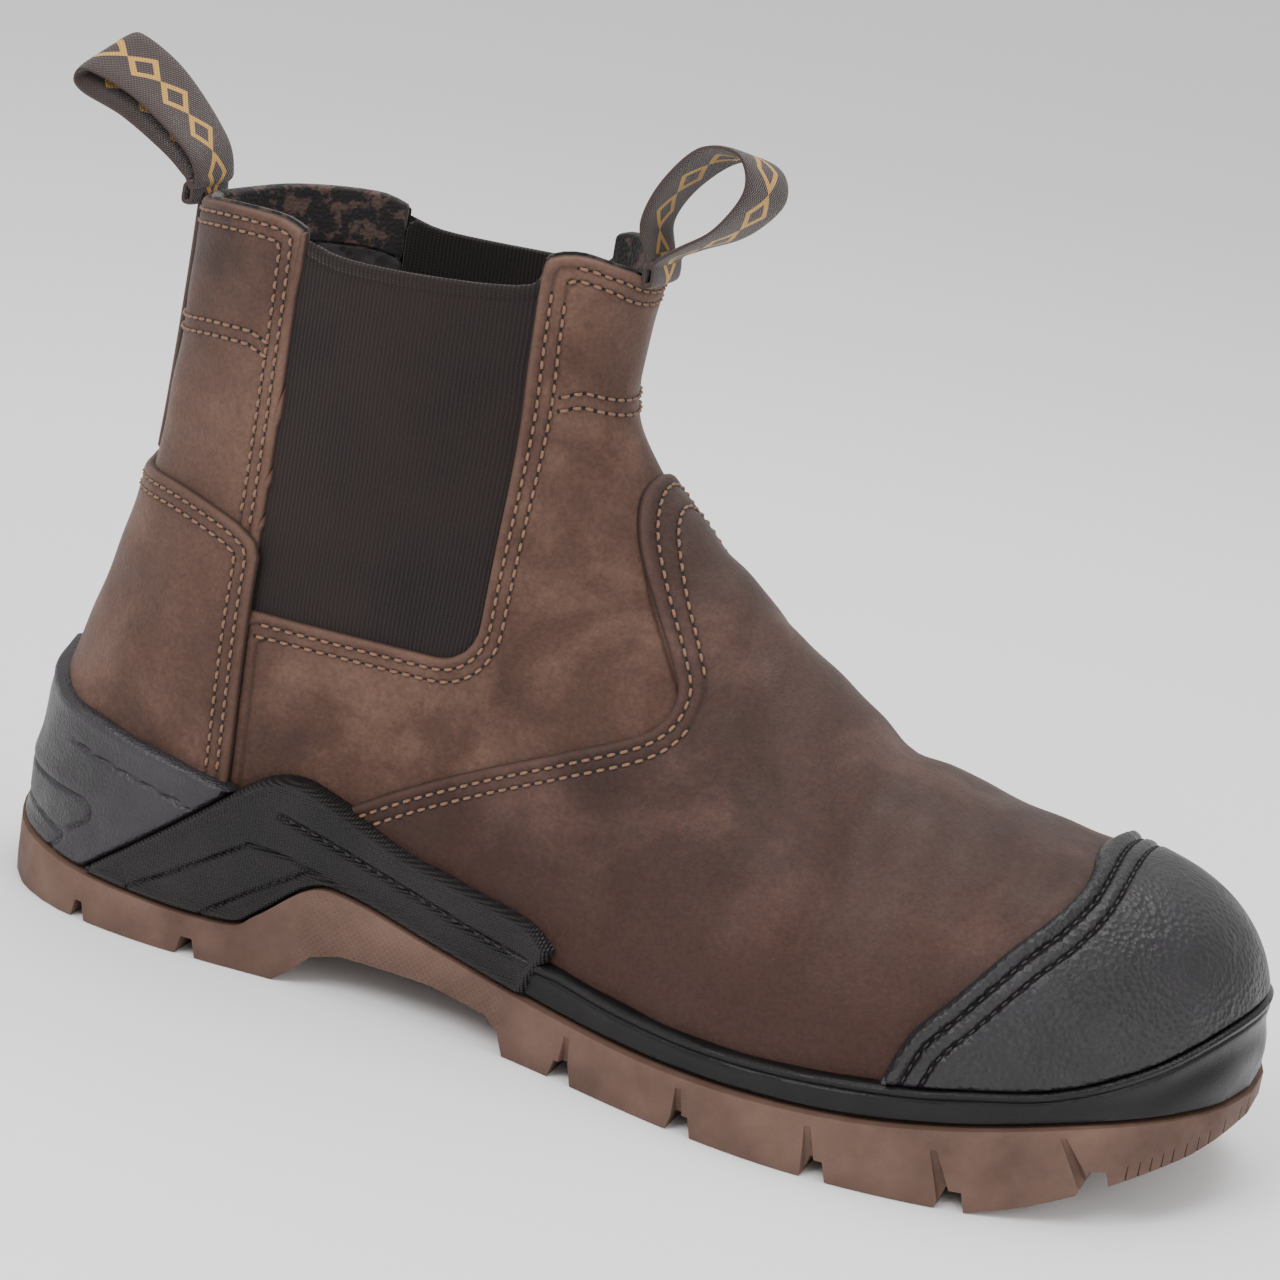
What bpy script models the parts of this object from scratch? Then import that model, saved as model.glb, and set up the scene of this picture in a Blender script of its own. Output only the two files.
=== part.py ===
"""Right-foot pull-on steel toe work boot, modelled as its separate sewn and moulded pieces.

Frame: +X to the toe, +Y to the inner (medial) side, +Z up, origin on the ground at the middle of
the boot's box.  Shape points are written in a pattern frame in millimetres, with x = 0 at the back
of the heel, and are graded to the driving sizes below.  Every upper piece is a layer of the same
last surface, cut out by a side-view outline, so neighbours share their facets and keep their gap.
"""

import math

import bmesh
import bpy
import numpy as np
from mathutils import Vector

# Driving sizes, millimetres
LENGTH = 308.0          # sole, heel to toe
WIDTH = 107.0           # sole, across the ball of the foot
SHAFT_HEIGHT = 178.0    # ground to the highest point of the collar
LEATHER = 1.9           # quarters, steel cap and counter stiffener layer
OVERLAY = 1.9           # vamp, heel counter panel and back strap
LINING = 1.8
SOLE_WALL = 2.6         # heel cup, stabilisers, rim and toe bumper
OUTSOLE_LEDGE = 0.7     # how far the outsole stands out past the wall above it
GAP = 0.3               # between pieces that touch
SEAT_GAP = 0.6          # between the lasted edges and the midsole below
CAP_LENGTH = 50.0       # steel cap, back from the tip of the toe
CAP_EDGE = 4.0          # rubber strip behind the steel cap
LAP = 10.0              # how far a piece runs on under its neighbour
GORE_REAR = 66.0        # rear edge of the elastic window
GORE_WIDTH = 55.0
GORE_CORNER = 9.0       # radius of its lower front corner
TREAD_DEPTH = 4.5
BOARD = 2.0
FOOTBED = 4.0
BOARD_EASE = 2.2        # the board is smaller than the lining all round, and the footbed more so
FOOTBED_EASE = 2.0
SHANK_LENGTH = 92.0
SHANK_WIDTH = 15.0
SHANK_THICKNESS = 1.5
STRAP_WIDTH = 9.0       # strip over the seam at the back
FACING_DEPTH = 13.0     # trim band round the inside of the collar
PIPING = 3.0            # bead along the rear edge of the toe bumper
LOOP_WIDTH = 21.0
LOOP_THICKNESS = 1.5
LOOP_PIVOT_RADIUS = 2.3

# Layers, as distances from the outer face of the quarters
BASE = (-LEATHER, 0.0)
LINER = (BASE[0] - GAP - LINING, BASE[0] - GAP)
COVER = (GAP, GAP + OVERLAY)
WALL = (COVER[1] + GAP, COVER[1] + GAP + SOLE_WALL)

# The pattern is drawn for this size
PATTERN = np.array([308.0, 107.0, 178.0])
GRADE = np.array([LENGTH, WIDTH, SHAFT_HEIGHT]) / PATTERN
REAR_OVERHANG = 8.0     # the rear pull loop leans out behind the heel
FRAME_X = (LENGTH - REAR_OVERHANG) / 2
MM = 0.001

# Sections of the last, toe to collar: front centre x, z | side or back point x, lateral y, medial y,
# z | front handle sideways | end handle sideways and up
SECTIONS = np.array([
    (300.5, 31, 300.0, 4, 15, 28, 3, 0, 1),
    (300.0, 41, 296.5, -9, 26.5, 27, 10, 0, 6),
    (297.0, 50, 290.0, -20, 34, 26, 17, 0, 12),
    (291.0, 57.5, 280.0, -30.5, 39.5, 25, 24, 0, 17),
    (281.5, 63, 267.0, -38.5, 43.5, 23, 31, 0, 21),
    (268.0, 66.5, 250.0, -44.5, 46.5, 20, 35, 0, 25),
    (252.0, 68.5, 232.0, -48, 47.5, 18, 37, 0, 28),
    (236.0, 71.5, 214.0, -49, 46.5, 17, 36, 0, 31),
    (221.0, 75.5, 196.0, -47, 43, 17, 34, 0, 34),
    (207.0, 83, 178.0, -43, 37.5, 18, 32, 0, 37),
    (190.0, 94, 160.0, -38, 32, 20, 31, 0, 39),
    (172.5, 106.5, 140.0, -33.5, 28, 22, 33, 0, 40),
    (157.0, 118, 115.0, -30.5, 27, 25, 36, 0, 38),
    (146.0, 127.5, 86.0, -31, 29, 28, 39, 0, 35),
    (140.0, 135, 56.0, -32.5, 31, 30, 42, 1, 31),
    (138.0, 142, 30.0, -28.5, 27.5, 31, 44, 7, 27),
    (137.6, 148, 13.5, -17, 16.5, 31.5, 45, 21, 25),
    (137.8, 153.5, 6.5, 0, 0, 32, 45, 39, 22),
    (138.4, 158, 8.5, 0, 0, 43, 45, 40, 14),
    (139.0, 162, 12.5, 0, 0, 58, 45, 40, 6),
    (139.6, 166, 18.5, 0, 0, 78, 45, 39.5, 0),
    (140.2, 170.5, 23.5, 0, 0, 100, 44, 39.5, 0),
    (141.0, 176, 25.5, 0, 0, 130, 43, 40, 0),
    (142.0, 183, 26.5, 0, 0, 158, 42, 41, 0),
    (143.0, 190, 27.0, 0, 0, 188, 42, 42, 0),
], float)
HEEL_SECTION = 17       # from here up, the sections close at the back seam
STEPS_PER_SECTION = 2
SIDE_STEPS = 6
RELAXED = (11, 23)      # sections that fan round the ankle are evened out along the fan
RELAX_PASSES = 12
SKIRT_STEPS = 2
SEAT_STEPS = 32
FORWARD = 1.15 * LENGTH     # past the toe
BEHIND = -30.0              # past the heel
HIGH = 1.3 * SHAFT_HEIGHT


def smooth(points, steps):
    """Rounds a row of points off with a Catmull-Rom curve, `steps` pieces to a span."""
    p = np.asarray(points, float)
    ends = np.vstack([2 * p[0] - p[1], p, 2 * p[-1] - p[-2]])
    out = []
    for i in range(len(p) - 1):
        a, b, c, d = ends[i:i + 4]
        for k in range(steps):
            u = k / steps
            out.append(0.5 * (2 * b + (c - a) * u + (2 * a - 5 * b + 4 * c - d) * u ** 2
                              + (3 * b - a - 3 * c + d) * u ** 3))
    out.append(p[-1])
    return np.array(out)


def last_grid():
    """Points and outward normals of the last, [section, across], lateral feather edge to medial."""
    rows = smooth(SECTIONS, STEPS_PER_SECTION)
    heel = HEEL_SECTION * STEPS_PER_SECTION
    rows[heel:, 3:5] = 0.0
    grid = np.zeros((len(rows), 2 * SIDE_STEPS + 1, 3))
    s = np.linspace(0, 1, SIDE_STEPS + 1)[:, None]
    for i, (fx, fz, bx, lateral, medial, bz, front, wide, up) in enumerate(rows):
        bend = toe_bend(fx)
        for sign, y in ((-1, lateral), (1, medial)):
            p0 = np.array([fx, bend, fz])
            p3 = np.array([bx, y, bz])
            p1 = p0 + (0, sign * front, 0)
            p2 = p3 + (0, sign * wide, up)
            side = ((1 - s) ** 3 * p0 + 3 * s * (1 - s) ** 2 * p1
                    + 3 * s * s * (1 - s) * p2 + s ** 3 * p3)
            columns = SIDE_STEPS + sign * np.arange(SIDE_STEPS + 1)
            grid[i, columns] = side
    first, last = (n * STEPS_PER_SECTION for n in RELAXED)
    hold = 1 - np.abs(np.linspace(-1, 1, 2 * SIDE_STEPS + 1))[None, :, None] ** 3
    for _ in range(RELAX_PASSES):
        pull = (grid[first - 1:last - 1] + grid[first + 1:last + 1]) / 2 - grid[first:last]
        grid[first:last] += pull * hold / 2
    grid *= GRADE
    along = np.gradient(grid, axis=0)
    across = np.gradient(grid, axis=1)
    normal = np.cross(across, along)
    normal /= np.linalg.norm(normal, axis=2, keepdims=True)
    for _ in range(4):
        normal[1:-1] = (normal[:-2] + normal[1:-1] + normal[2:]) / 3
    seam = (normal[heel:, 0] + normal[heel:, -1]) * (0.5, 0, 0.5)
    normal[heel:, [0, -1]] = seam[:, None]
    normal[:heel + 1, [0, -1], 2] = 0.0
    normal /= np.linalg.norm(normal, axis=2, keepdims=True)
    return grid, normal, heel


def toe_bend(x):
    """How far the centre line swings to the inner side at x of the pattern."""
    return 9.5 * max(0.0, (x - 175) / 125) ** 1.6


GRID, NORMAL, HEEL_ROW = last_grid()
FRONT_TIP = float(GRID[:, :, 0].max())
EDGE_X = GRID[:HEEL_ROW + 1, 0, 0]
EDGE_Z = GRID[:HEEL_ROW + 1, 0, 2]


def seat(x):
    """Height of the lasting edge over x, both in graded millimetres."""
    return np.interp(x, EDGE_X[::-1], EDGE_Z[::-1])


def collection(name):
    made = bpy.data.collections.new(name)
    bpy.context.scene.collection.children.link(made)
    return made


for old in list(bpy.data.objects):
    bpy.data.objects.remove(old, do_unlink=True)
BOOT = collection("steel_toe_work_boot")
CUTTERS = collection("cutters")


def material(name, colour, roughness, metallic=0.0):
    made = bpy.data.materials.new(name)
    made.use_nodes = True
    shader = made.node_tree.nodes["Principled BSDF"]
    shader.inputs["Base Color"].default_value = (*colour, 1)
    shader.inputs["Roughness"].default_value = roughness
    shader.inputs["Metallic"].default_value = metallic
    return made


LEATHER_LOOK = material("brown_nubuck", (0.16, 0.09, 0.07), 0.62)
STRAP_LOOK = material("dark_brown_leather", (0.1, 0.055, 0.045), 0.6)
ELASTIC_LOOK = material("black_elastic", (0.03, 0.022, 0.022), 0.85)
MESH_LOOK = material("black_mesh_lining", (0.02, 0.018, 0.018), 0.9)
WEBBING_LOOK = material("brown_webbing", (0.07, 0.035, 0.03), 0.8)
TPU_LOOK = material("black_polyurethane", (0.035, 0.03, 0.032), 0.45)
RUBBER_LOOK = material("tan_rubber", (0.28, 0.18, 0.14), 0.7)
STEEL_LOOK = material("steel", (0.5, 0.5, 0.52), 0.35, 1.0)
BOARD_LOOK = material("fibre_board", (0.4, 0.33, 0.25), 0.9)
FOAM_LOOK = material("grey_foam", (0.1, 0.1, 0.11), 0.9)


def add(name, bm, look, cutter=False):
    """Makes an object from a bmesh in graded pattern millimetres."""
    for vert in bm.verts:
        vert.co = (vert.co - Vector((FRAME_X, 0, 0))) * MM
    bmesh.ops.recalc_face_normals(bm, faces=bm.faces)
    mesh = bpy.data.meshes.new(name)
    bm.to_mesh(mesh)
    bm.free()
    made = bpy.data.objects.new(name, mesh)
    (CUTTERS if cutter else BOOT).objects.link(made)
    if cutter:
        made.hide_render = True
        made.display_type = "WIRE"
    else:
        mesh.materials.append(look)
        mesh.shade_smooth()
        mesh.set_sharp_from_angle(angle=math.radians(35))
    return made


def cut(part, cutter, operation="INTERSECT"):
    modifier = part.modifiers.new(cutter.name, "BOOLEAN")
    modifier.object = cutter
    modifier.operation = operation
    modifier.solver = "EXACT"


def side_prism(name, outline, y0=-90.0, y1=90.0):
    """A cutter: a side-view outline (x, z), run across the boot from y0 to y1."""
    bm = bmesh.new()
    face = bm.faces.new([bm.verts.new((x, y0, z)) for x, z in outline])
    grown = bmesh.ops.extrude_face_region(bm, geom=[face])
    moved = [g for g in grown["geom"] if isinstance(g, bmesh.types.BMVert)]
    bmesh.ops.translate(bm, vec=(0, y1 - y0, 0), verts=moved)
    return add(name + "_cutter", bm, None, cutter=True)


def layer_columns(offset, skirt):
    """Rows of points of one face of a layer, each from one feather edge over the top to the other."""
    face = GRID + NORMAL * offset
    face[HEEL_ROW:, [0, -1], 1] = 0.0
    rows = []
    for i, row in enumerate(face):
        if skirt and i <= HEEL_ROW:
            drops = np.linspace(1, 0, SKIRT_STEPS, endpoint=False)[:, None] * (0, 0, GRID[i, 0, 2])
            row = np.vstack([row[0] - drops, row, (row[-1] - drops)[::-1]])
        rows.append(row)
    return rows


def layer_solid(name, layer, look, skirt=False):
    """One layer all over the last, open at the collar and round the lasting edge."""
    inner = layer_columns(layer[0], skirt)
    outer = layer_columns(layer[1], skirt)
    bm = bmesh.new()
    skins = []
    for rows in (inner, outer):
        skins.append([[bm.verts.new(p) for p in row] for row in rows])
    for rows in skins:
        for i in range(len(rows) - 1):
            a, b = rows[i], rows[i + 1]
            trim = (len(a) - len(b)) // 2
            a = a[trim:len(a) - trim] if trim else a
            for j in range(len(b) - 1):
                bm.faces.new((a[j], a[j + 1], b[j + 1]))
                bm.faces.new((a[j], b[j + 1], b[j]))
    for rows in skins if skirt else ():
        tip = rows[0]
        bm.faces.new(tip[SKIRT_STEPS:len(tip) - SKIRT_STEPS])
        for k in range(SKIRT_STEPS):
            bm.faces.new((tip[k], tip[k + 1], tip[-2 - k], tip[-1 - k]))
    loops = [border(rows, skirt) for rows in skins]
    for ring_in, ring_out in zip(*loops):
        for k in range(len(ring_in) - 1):
            bm.faces.new((ring_in[k], ring_in[k + 1], ring_out[k + 1], ring_out[k]))
    bmesh.ops.remove_doubles(bm, verts=bm.verts, dist=1e-4)
    return add(name, bm, look)


def border(rows, skirt):
    """The two open edges of a skin: the collar, and the lasting edge from heel to toe to heel."""
    foot = [row[0] for row in rows[:HEEL_ROW + 1]][::-1]
    foot += [] if skirt else rows[0][1:-1]
    foot += [row[-1] for row in rows[:HEEL_ROW + 1]]
    return rows[-1], foot


def graded(points):
    """Side-view pattern points to graded millimetres."""
    return [(x * GRADE[0], z * GRADE[2]) for x, z in points]


def arc(x, z, radius, start, end, steps=6):
    """Side-view arc round (x, z), angles in degrees."""
    turns = np.radians(np.linspace(start, end, steps + 1))
    return [(x + radius * math.cos(t), z + radius * math.sin(t)) for t in turns]


def shifted(points, dx, dz=0.0):
    return [(x + dx, z + dz) for x, z in points]


# Side-view outlines, drawn in the pattern frame and graded
VAMP_EDGE = graded(smooth([
    (147.5, 131), (146.5, 126), (150, 117), (157, 106), (165, 94), (168, 87), (164, 79.5),
    (147, 71), (127, 61.5), (107, 50.5), (92, 40), (80, 26)], 3))
COUNTER_TOP = graded(smooth([(0, 107), (26, 106.5), (42, 106.5), (58, 103.5), (65.5, 100)], 3))
COLLAR = graded(smooth([
    (0, 168), (22, 169), (40, 172), (58, 173), (66, 171), (76, 169), (98, 169.5), (119, 171.5),
    (122, 176.5), (129, 178), (137, 175.5), (143, 172), (160, 168)], 2))
CUP_TOP = graded(smooth([
    (-10, 61), (10, 56.5), (22, 50.5), (33, 49), (46, 46.5), (58, 44.5), (68, 42.5)], 2))
WING_TOP = graded(smooth([
    (71, 42.5), (78, 47), (86, 48.5), (95, 46), (115, 38.5), (138, 34), (149, 31.5), (155, 27)], 2))
RIM_TOP = graded(smooth([
    (157, 24), (175, 22), (200, 21.5), (235, 24.5), (252, 27), (269, 30), (285, 36), (298, 43.5),
    (310, 48)], 2))
WALL_FOOT = graded(smooth([
    (-20, 17), (0, 16), (16, 13), (43, 10.5), (72, 10), (80, 14), (92, 23.5), (102, 24), (123, 19),
    (150, 14.5), (184, 12.5), (225, 14.5), (249, 17.5), (278, 22.5), (300, 24.5), (330, 26)], 3))
BUMPER_EDGE = graded(smooth([
    (228, 10), (234, 24), (238, 35), (245, 44), (253, 54), (260, 61), (262.5, 65.5), (258.5, 69),
    (255, 73), (262, 90)], 3))
GROUND = [(-20, 12), (-2, 12), (3, 7), (8, 1.5), (14, 0), (86, 0), (90, 3), (95, 8), (102, 10),
          (125, 10), (140, 8), (144, 5), (146, 0), (258, 0), (270, 3.5), (284, 9), (298, 15),
          (308, 21), (330, 24)]
TREAD_CUTS = [(34, 3), (64, 4), (161.5, 5), (193, 5), (225, 4.5), (254.5, 5), (282, 4.5)]

# Side views of the pull loops from their hinge points, up one side, down the other, round the hinge
REAR_LOOP = [(-1.2, 1), (-8, 7), (-22, 13.5), (-33, 17.5), (-33.5, 24), (-27, 27.5), (-14, 21),
             (-1, 8), (1.4, 1), (0.2, -1.4), (-1.2, 1)]
FRONT_LOOP = [(-1.4, 1), (-3, 8), (1, 17), (9, 25), (18, 25), (20.5, 18), (14.5, 9), (6, 3.5),
              (1.6, 0.6), (0.2, -1.4), (-1.4, 1)]
FRONT_LIFT = 1.5        # the front loop stands higher, over the collar's crest

WINDOW_FRONT = GORE_REAR + GORE_WIDTH
WINDOW_FOOT = 84.0 * GRADE[2]
STIFFENER_TOP = 104.0 * GRADE[2] - LAP


def window(margin):
    """The opening for the elastic, grown all round by margin."""
    corner = arc(WINDOW_FRONT - GORE_CORNER, WINDOW_FOOT + GORE_CORNER, GORE_CORNER + margin, -90, 0)
    return ([(GORE_REAR - margin, HIGH), (GORE_REAR - margin, WINDOW_FOOT - margin)] + corner
            + [(WINDOW_FRONT + margin, HIGH)])


def collar_height(x):
    xs, zs = zip(*COLLAR)
    return float(np.interp(x, xs, zs))


def panel(name, layer, look, keep, drop=(), skirt=False, sides=(-90.0, 90.0)):
    """A piece of one layer: what lies inside the `keep` outlines and outside the `drop` ones."""
    made = layer_solid(name, layer, look, skirt)
    for n, outline in enumerate(keep):
        span = () if n else sides
        cut(made, side_prism(f"{name}_keep{n}", outline, *span))
    for n, outline in enumerate(drop):
        cut(made, side_prism(f"{name}_drop{n}", outline), "DIFFERENCE")
    return made


def below(line):
    return line + [(FORWARD, line[-1][1]), (FORWARD, -20), (BEHIND, -20), (BEHIND, line[0][1])]


def above(line):
    return line + [(FORWARD, line[-1][1]), (FORWARD, HIGH), (BEHIND, HIGH), (BEHIND, line[0][1])]


def upper():
    """Leather panels, elastic, linings and the stiff parts between them."""
    counter_front = GORE_REAR + 1.0
    collar = below(COLLAR)
    lowered = below(shifted(COLLAR, 0, -1.5))
    vamp_side = VAMP_EDGE + [(VAMP_EDGE[-1][0], -20), (FORWARD, -20), (FORWARD, 160 * GRADE[2]),
                             (VAMP_EDGE[0][0], 160 * GRADE[2])]
    panel("vamp", COVER, LEATHER_LOOK, [vamp_side])

    under_vamp = shifted(VAMP_EDGE, LAP, -LAP * 0.6)
    quarter = [(counter_front + 0.2, HIGH), (counter_front + 0.2, -20), (under_vamp[-1][0], -20)]
    quarter += under_vamp[::-1] + [(FORWARD, under_vamp[0][1]), (FORWARD, HIGH)]
    panel("front_quarter", BASE, LEATHER_LOOK, [quarter, collar], [window(GAP)])

    rear_edge = GORE_REAR - 2 * GAP
    rear = [p for p in COLLAR if p[0] < rear_edge - 1] + [(rear_edge, collar_height(rear_edge))]
    rear += [(rear_edge, STIFFENER_TOP + GAP), (COLLAR[0][0], STIFFENER_TOP + GAP)]
    for side, span in (("lateral", (-90.0, -GAP / 2)), ("medial", (GAP / 2, 90.0))):
        panel("rear_quarter_" + side, BASE, LEATHER_LOOK, [rear], sides=span)
        half = (-90.0, -1.0) if side == "lateral" else (1.0, 90.0)
        panel("gore_" + side, (BASE[0] + GAP, BASE[1] - GAP), ELASTIC_LOOK,
              [window(0.0), lowered], sides=half)
    stiffener = [(BEHIND, STIFFENER_TOP), (BEHIND, -20), (counter_front - 4, -20),
                 (counter_front - 4, STIFFENER_TOP)]
    panel("counter_stiffener", BASE, BOARD_LOOK, [stiffener])

    counter = COUNTER_TOP + [(counter_front, COUNTER_TOP[-1][1] - 4), (counter_front, -20),
                             (BEHIND, -20), (BEHIND, COUNTER_TOP[0][1])]
    panel("heel_counter_panel", COVER, LEATHER_LOOK, [counter], [vamp_side])
    strap = [(BEHIND, HIGH), (BEHIND, COUNTER_TOP[0][1] + GAP), (50 * GRADE[0], COUNTER_TOP[0][1] + GAP),
             (50 * GRADE[0], HIGH)]
    panel("back_strap", COVER, STRAP_LOOK, [strap, collar], sides=(-STRAP_WIDTH / 2, STRAP_WIDTH / 2))

    cap_rear = FRONT_TIP - CAP_LENGTH
    cap = [(cap_rear, -20), (FORWARD, -20), (FORWARD, HIGH), (cap_rear, HIGH)]
    panel("steel_toe_cap", BASE, STEEL_LOOK, [cap])
    edge = [(cap_rear - GAP - CAP_EDGE, -20), (cap_rear - GAP, -20), (cap_rear - GAP, HIGH),
            (cap_rear - GAP - CAP_EDGE, HIGH)]
    panel("toe_cap_edge_strip", BASE, TPU_LOOK, [edge])
    linings(collar)


def linings(collar):
    """Mesh lining: the trim band round the collar, the shaft and heel below it, and the forefoot."""
    band = shifted(COLLAR, 0, -FACING_DEPTH)
    split = GORE_REAR + GORE_WIDTH / 2
    rear_half = [(BEHIND, -20), (split, -20), (split, HIGH), (BEHIND, HIGH)]
    front_half = [(split + GAP, -20), (FORWARD, -20), (FORWARD, HIGH), (split + GAP, HIGH)]
    panel("collar_facing_rear", LINER, MESH_LOOK, [above(band), collar, rear_half])
    panel("collar_facing_front", LINER, MESH_LOOK, [above(band), collar, front_half])
    band = shifted(band, 0, -GAP)
    seam = VAMP_EDGE
    fore = seam + [(seam[-1][0], -20), (FORWARD, -20), (FORWARD, 160 * GRADE[2]),
                   (seam[0][0], 160 * GRADE[2])]
    aft = shifted(seam, -GAP * 1.5) + [(seam[-1][0] - GAP * 1.5, -20), (BEHIND, -20), (BEHIND, HIGH),
                                       (seam[0][0] + 60, HIGH), (seam[0][0] + 60, seam[0][1] + 2 * GAP),
                                       (seam[0][0], seam[0][1] + 2 * GAP)]
    panel("vamp_lining", LINER, MESH_LOOK, [fore])
    panel("quarter_lining", LINER, MESH_LOOK, [aft, below(band)])


def plan_outline(offset):
    """The lasting edge in plan, moved outward, once round from the heel by the outer side."""
    face = GRID[:HEEL_ROW + 1] + NORMAL[:HEEL_ROW + 1] * offset
    lateral = [tuple(p[:2]) for p in face[:, 0]][::-1]
    medial = [tuple(p[:2]) for p in face[:-1, -1]]
    return lateral + medial


def plan_solid(name, offset, look, z0=-20.0, z1=80.0):
    bm = bmesh.new()
    face = bm.faces.new([bm.verts.new((x, y, z0)) for x, y in plan_outline(offset)])
    grown = bmesh.ops.extrude_face_region(bm, geom=[face])
    moved = [g for g in grown["geom"] if isinstance(g, bmesh.types.BMVert)]
    bmesh.ops.translate(bm, vec=(0, 0, z1 - z0), verts=moved)
    return add(name, bm, look)


def between(low, high):
    """A side-view outline between two lines that both run from heel to toe."""
    return list(low) + list(high)[::-1]


def seat_line(rise):
    xs = np.linspace(EDGE_X.min() - 8, EDGE_X.max() + 8, SEAT_STEPS)
    return [(x, float(seat(x)) + rise) for x in xs]


def sole():
    """Outsole, midsole with its shank, boards, and the walls moulded up round the leather."""
    outsole = plan_solid("outsole", WALL[1] + OUTSOLE_LEDGE, RUBBER_LOOK)
    ground = graded(GROUND)
    cut(outsole, side_prism("outsole_side", between(ground, WALL_FOOT)))
    for n, (x, width) in enumerate(TREAD_CUTS):
        half = width / 2
        notch = [(x - half - 1, -1), (x + half + 1, -1), (x + half - 1, TREAD_DEPTH),
                 (x - half + 1, TREAD_DEPTH)]
        notch = [(px * GRADE[0], pz) for px, pz in notch]
        if x > 260:
            notch = shifted(notch, 0, float(np.interp(x, [p[0] for p in GROUND], [p[1] for p in GROUND])))
        cut(outsole, side_prism(f"tread{n}", notch), "DIFFERENCE")
    top = seat_line(-SEAT_GAP)
    midsole = plan_solid("midsole", COVER[1], TPU_LOOK)
    cut(midsole, side_prism("midsole_side", between(shifted(WALL_FOOT, 0, GAP), top)))
    shank()
    cut(midsole, shank_box("shank_pocket", GAP, True), "DIFFERENCE")
    cut(outsole, shank_box("shank_recess", 2 * GAP, True), "DIFFERENCE")

    inside = LINER[0] - BOARD_EASE
    board = plan_solid("insole_board", inside, BOARD_LOOK)
    cut(board, side_prism("board_side", between(seat_line(0.0), seat_line(BOARD))))
    footbed = plan_solid("footbed", inside - FOOTBED_EASE, FOAM_LOOK)
    foot = BOARD + GAP
    cut(footbed, side_prism("footbed_side", between(seat_line(foot), seat_line(foot + FOOTBED))))
    walls()


def shank_box(name, margin, cutter):
    """The shank in its seat under the middle of the insole board; margin grows it to its pocket."""
    x0 = 70 * GRADE[0] - margin
    x1 = x0 + SHANK_LENGTH + 2 * margin
    low = -SEAT_GAP - GAP - SHANK_THICKNESS - margin
    high = -SEAT_GAP - GAP if not cutter else 10.0
    xs = np.linspace(x0, x1, 8)
    outline = between([(x, float(seat(x)) + low) for x in xs], [(x, float(seat(x)) + high) for x in xs])
    half = SHANK_WIDTH / 2 + margin
    return side_prism(name, outline, -half, half)


def shank():
    made = shank_box("shank_form", 0.0, False)
    made.name = "shank"
    CUTTERS.objects.unlink(made)
    BOOT.objects.link(made)
    made.hide_render = False
    made.display_type = "TEXTURED"
    made.data.materials.append(STEEL_LOOK)


def walls():
    """Heel cup, stabilisers and toe rim, all above the outsole, and the bumper over the toe."""
    over = shifted(WALL_FOOT, 0, GAP)
    split = graded([(70.5, 42), (59, 32), (33, 11), (22, 0)])
    cup = CUP_TOP + split + [(BEHIND, -20), (BEHIND, CUP_TOP[0][1])]
    panel("heel_cup", WALL, TPU_LOOK, [cup, above(over)], skirt=True)
    edge = shifted(split, GAP * 2)
    front = graded([(155, 27), (151, 20), (148, 10), (147, -5)])
    wing = WING_TOP + front[1:] + edge[::-1]
    for side, span in (("lateral", (-90.0, -1.0)), ("medial", (1.0, 90.0))):
        panel("stabiliser_" + side, WALL, TPU_LOOK, [wing, above(over)], skirt=True, sides=span)
    rim = RIM_TOP + [(FORWARD, RIM_TOP[-1][1]), (FORWARD, -20)] + shifted(front[1:], GAP * 2)[::-1]
    panel("toe_rim", WALL, TPU_LOOK, [rim, above(over)], skirt=True)
    bumper = BUMPER_EDGE + [(FORWARD, BUMPER_EDGE[-1][1]), (FORWARD, BUMPER_EDGE[0][1])]
    panel("toe_bumper", WALL, TPU_LOOK, [shifted(bumper, PIPING + GAP), above(shifted(RIM_TOP, 0, GAP))])
    strip = BUMPER_EDGE + shifted(BUMPER_EDGE, PIPING)[::-1]
    panel("toe_bumper_piping", WALL, TPU_LOOK, [strip, above(shifted(RIM_TOP, 0, GAP))])


def ribbon(name, centre, thickness, width, look):
    """A flat strip that follows a closed side-view line, its width across the boot."""
    centre = np.asarray(centre)
    ahead = np.roll(centre, -1, axis=0) - np.roll(centre, 1, axis=0)
    across = np.stack([-ahead[:, 1], ahead[:, 0]], 1)
    across /= np.linalg.norm(across, axis=1, keepdims=True)
    bm = bmesh.new()
    rings = []
    for p, n in zip(centre, across):
        ring = []
        for side, y in ((-1, -1), (1, -1), (1, 1), (-1, 1)):
            q = p + n * side * thickness / 2
            ring.append(bm.verts.new((q[0], y * width / 2, q[1])))
        rings.append(ring)
    for k, ring in enumerate(rings):
        follow = rings[(k + 1) % len(rings)]
        for m in range(4):
            bm.faces.new((ring[m], ring[(m + 1) % 4], follow[(m + 1) % 4], follow[m]))
    return add(name, bm, look)


def pull_loop(name, pivot, line):
    """A webbing loop standing on its pivot line, just clear of the collar below."""
    centre = smooth(line, 3)[:-1]
    made = ribbon(name, centre + np.array(pivot), LOOP_THICKNESS, LOOP_WIDTH, WEBBING_LOOK)
    hinge = bpy.data.objects.new(name + "_pivot", None)
    BOOT.objects.link(hinge)
    hinge.location = ((pivot[0] - FRAME_X) * MM, 0, pivot[1] * MM)
    made.parent = hinge
    made.matrix_parent_inverse = hinge.matrix_world.inverted()
    made.data.transform(hinge.matrix_basis.inverted())
    return made


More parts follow.
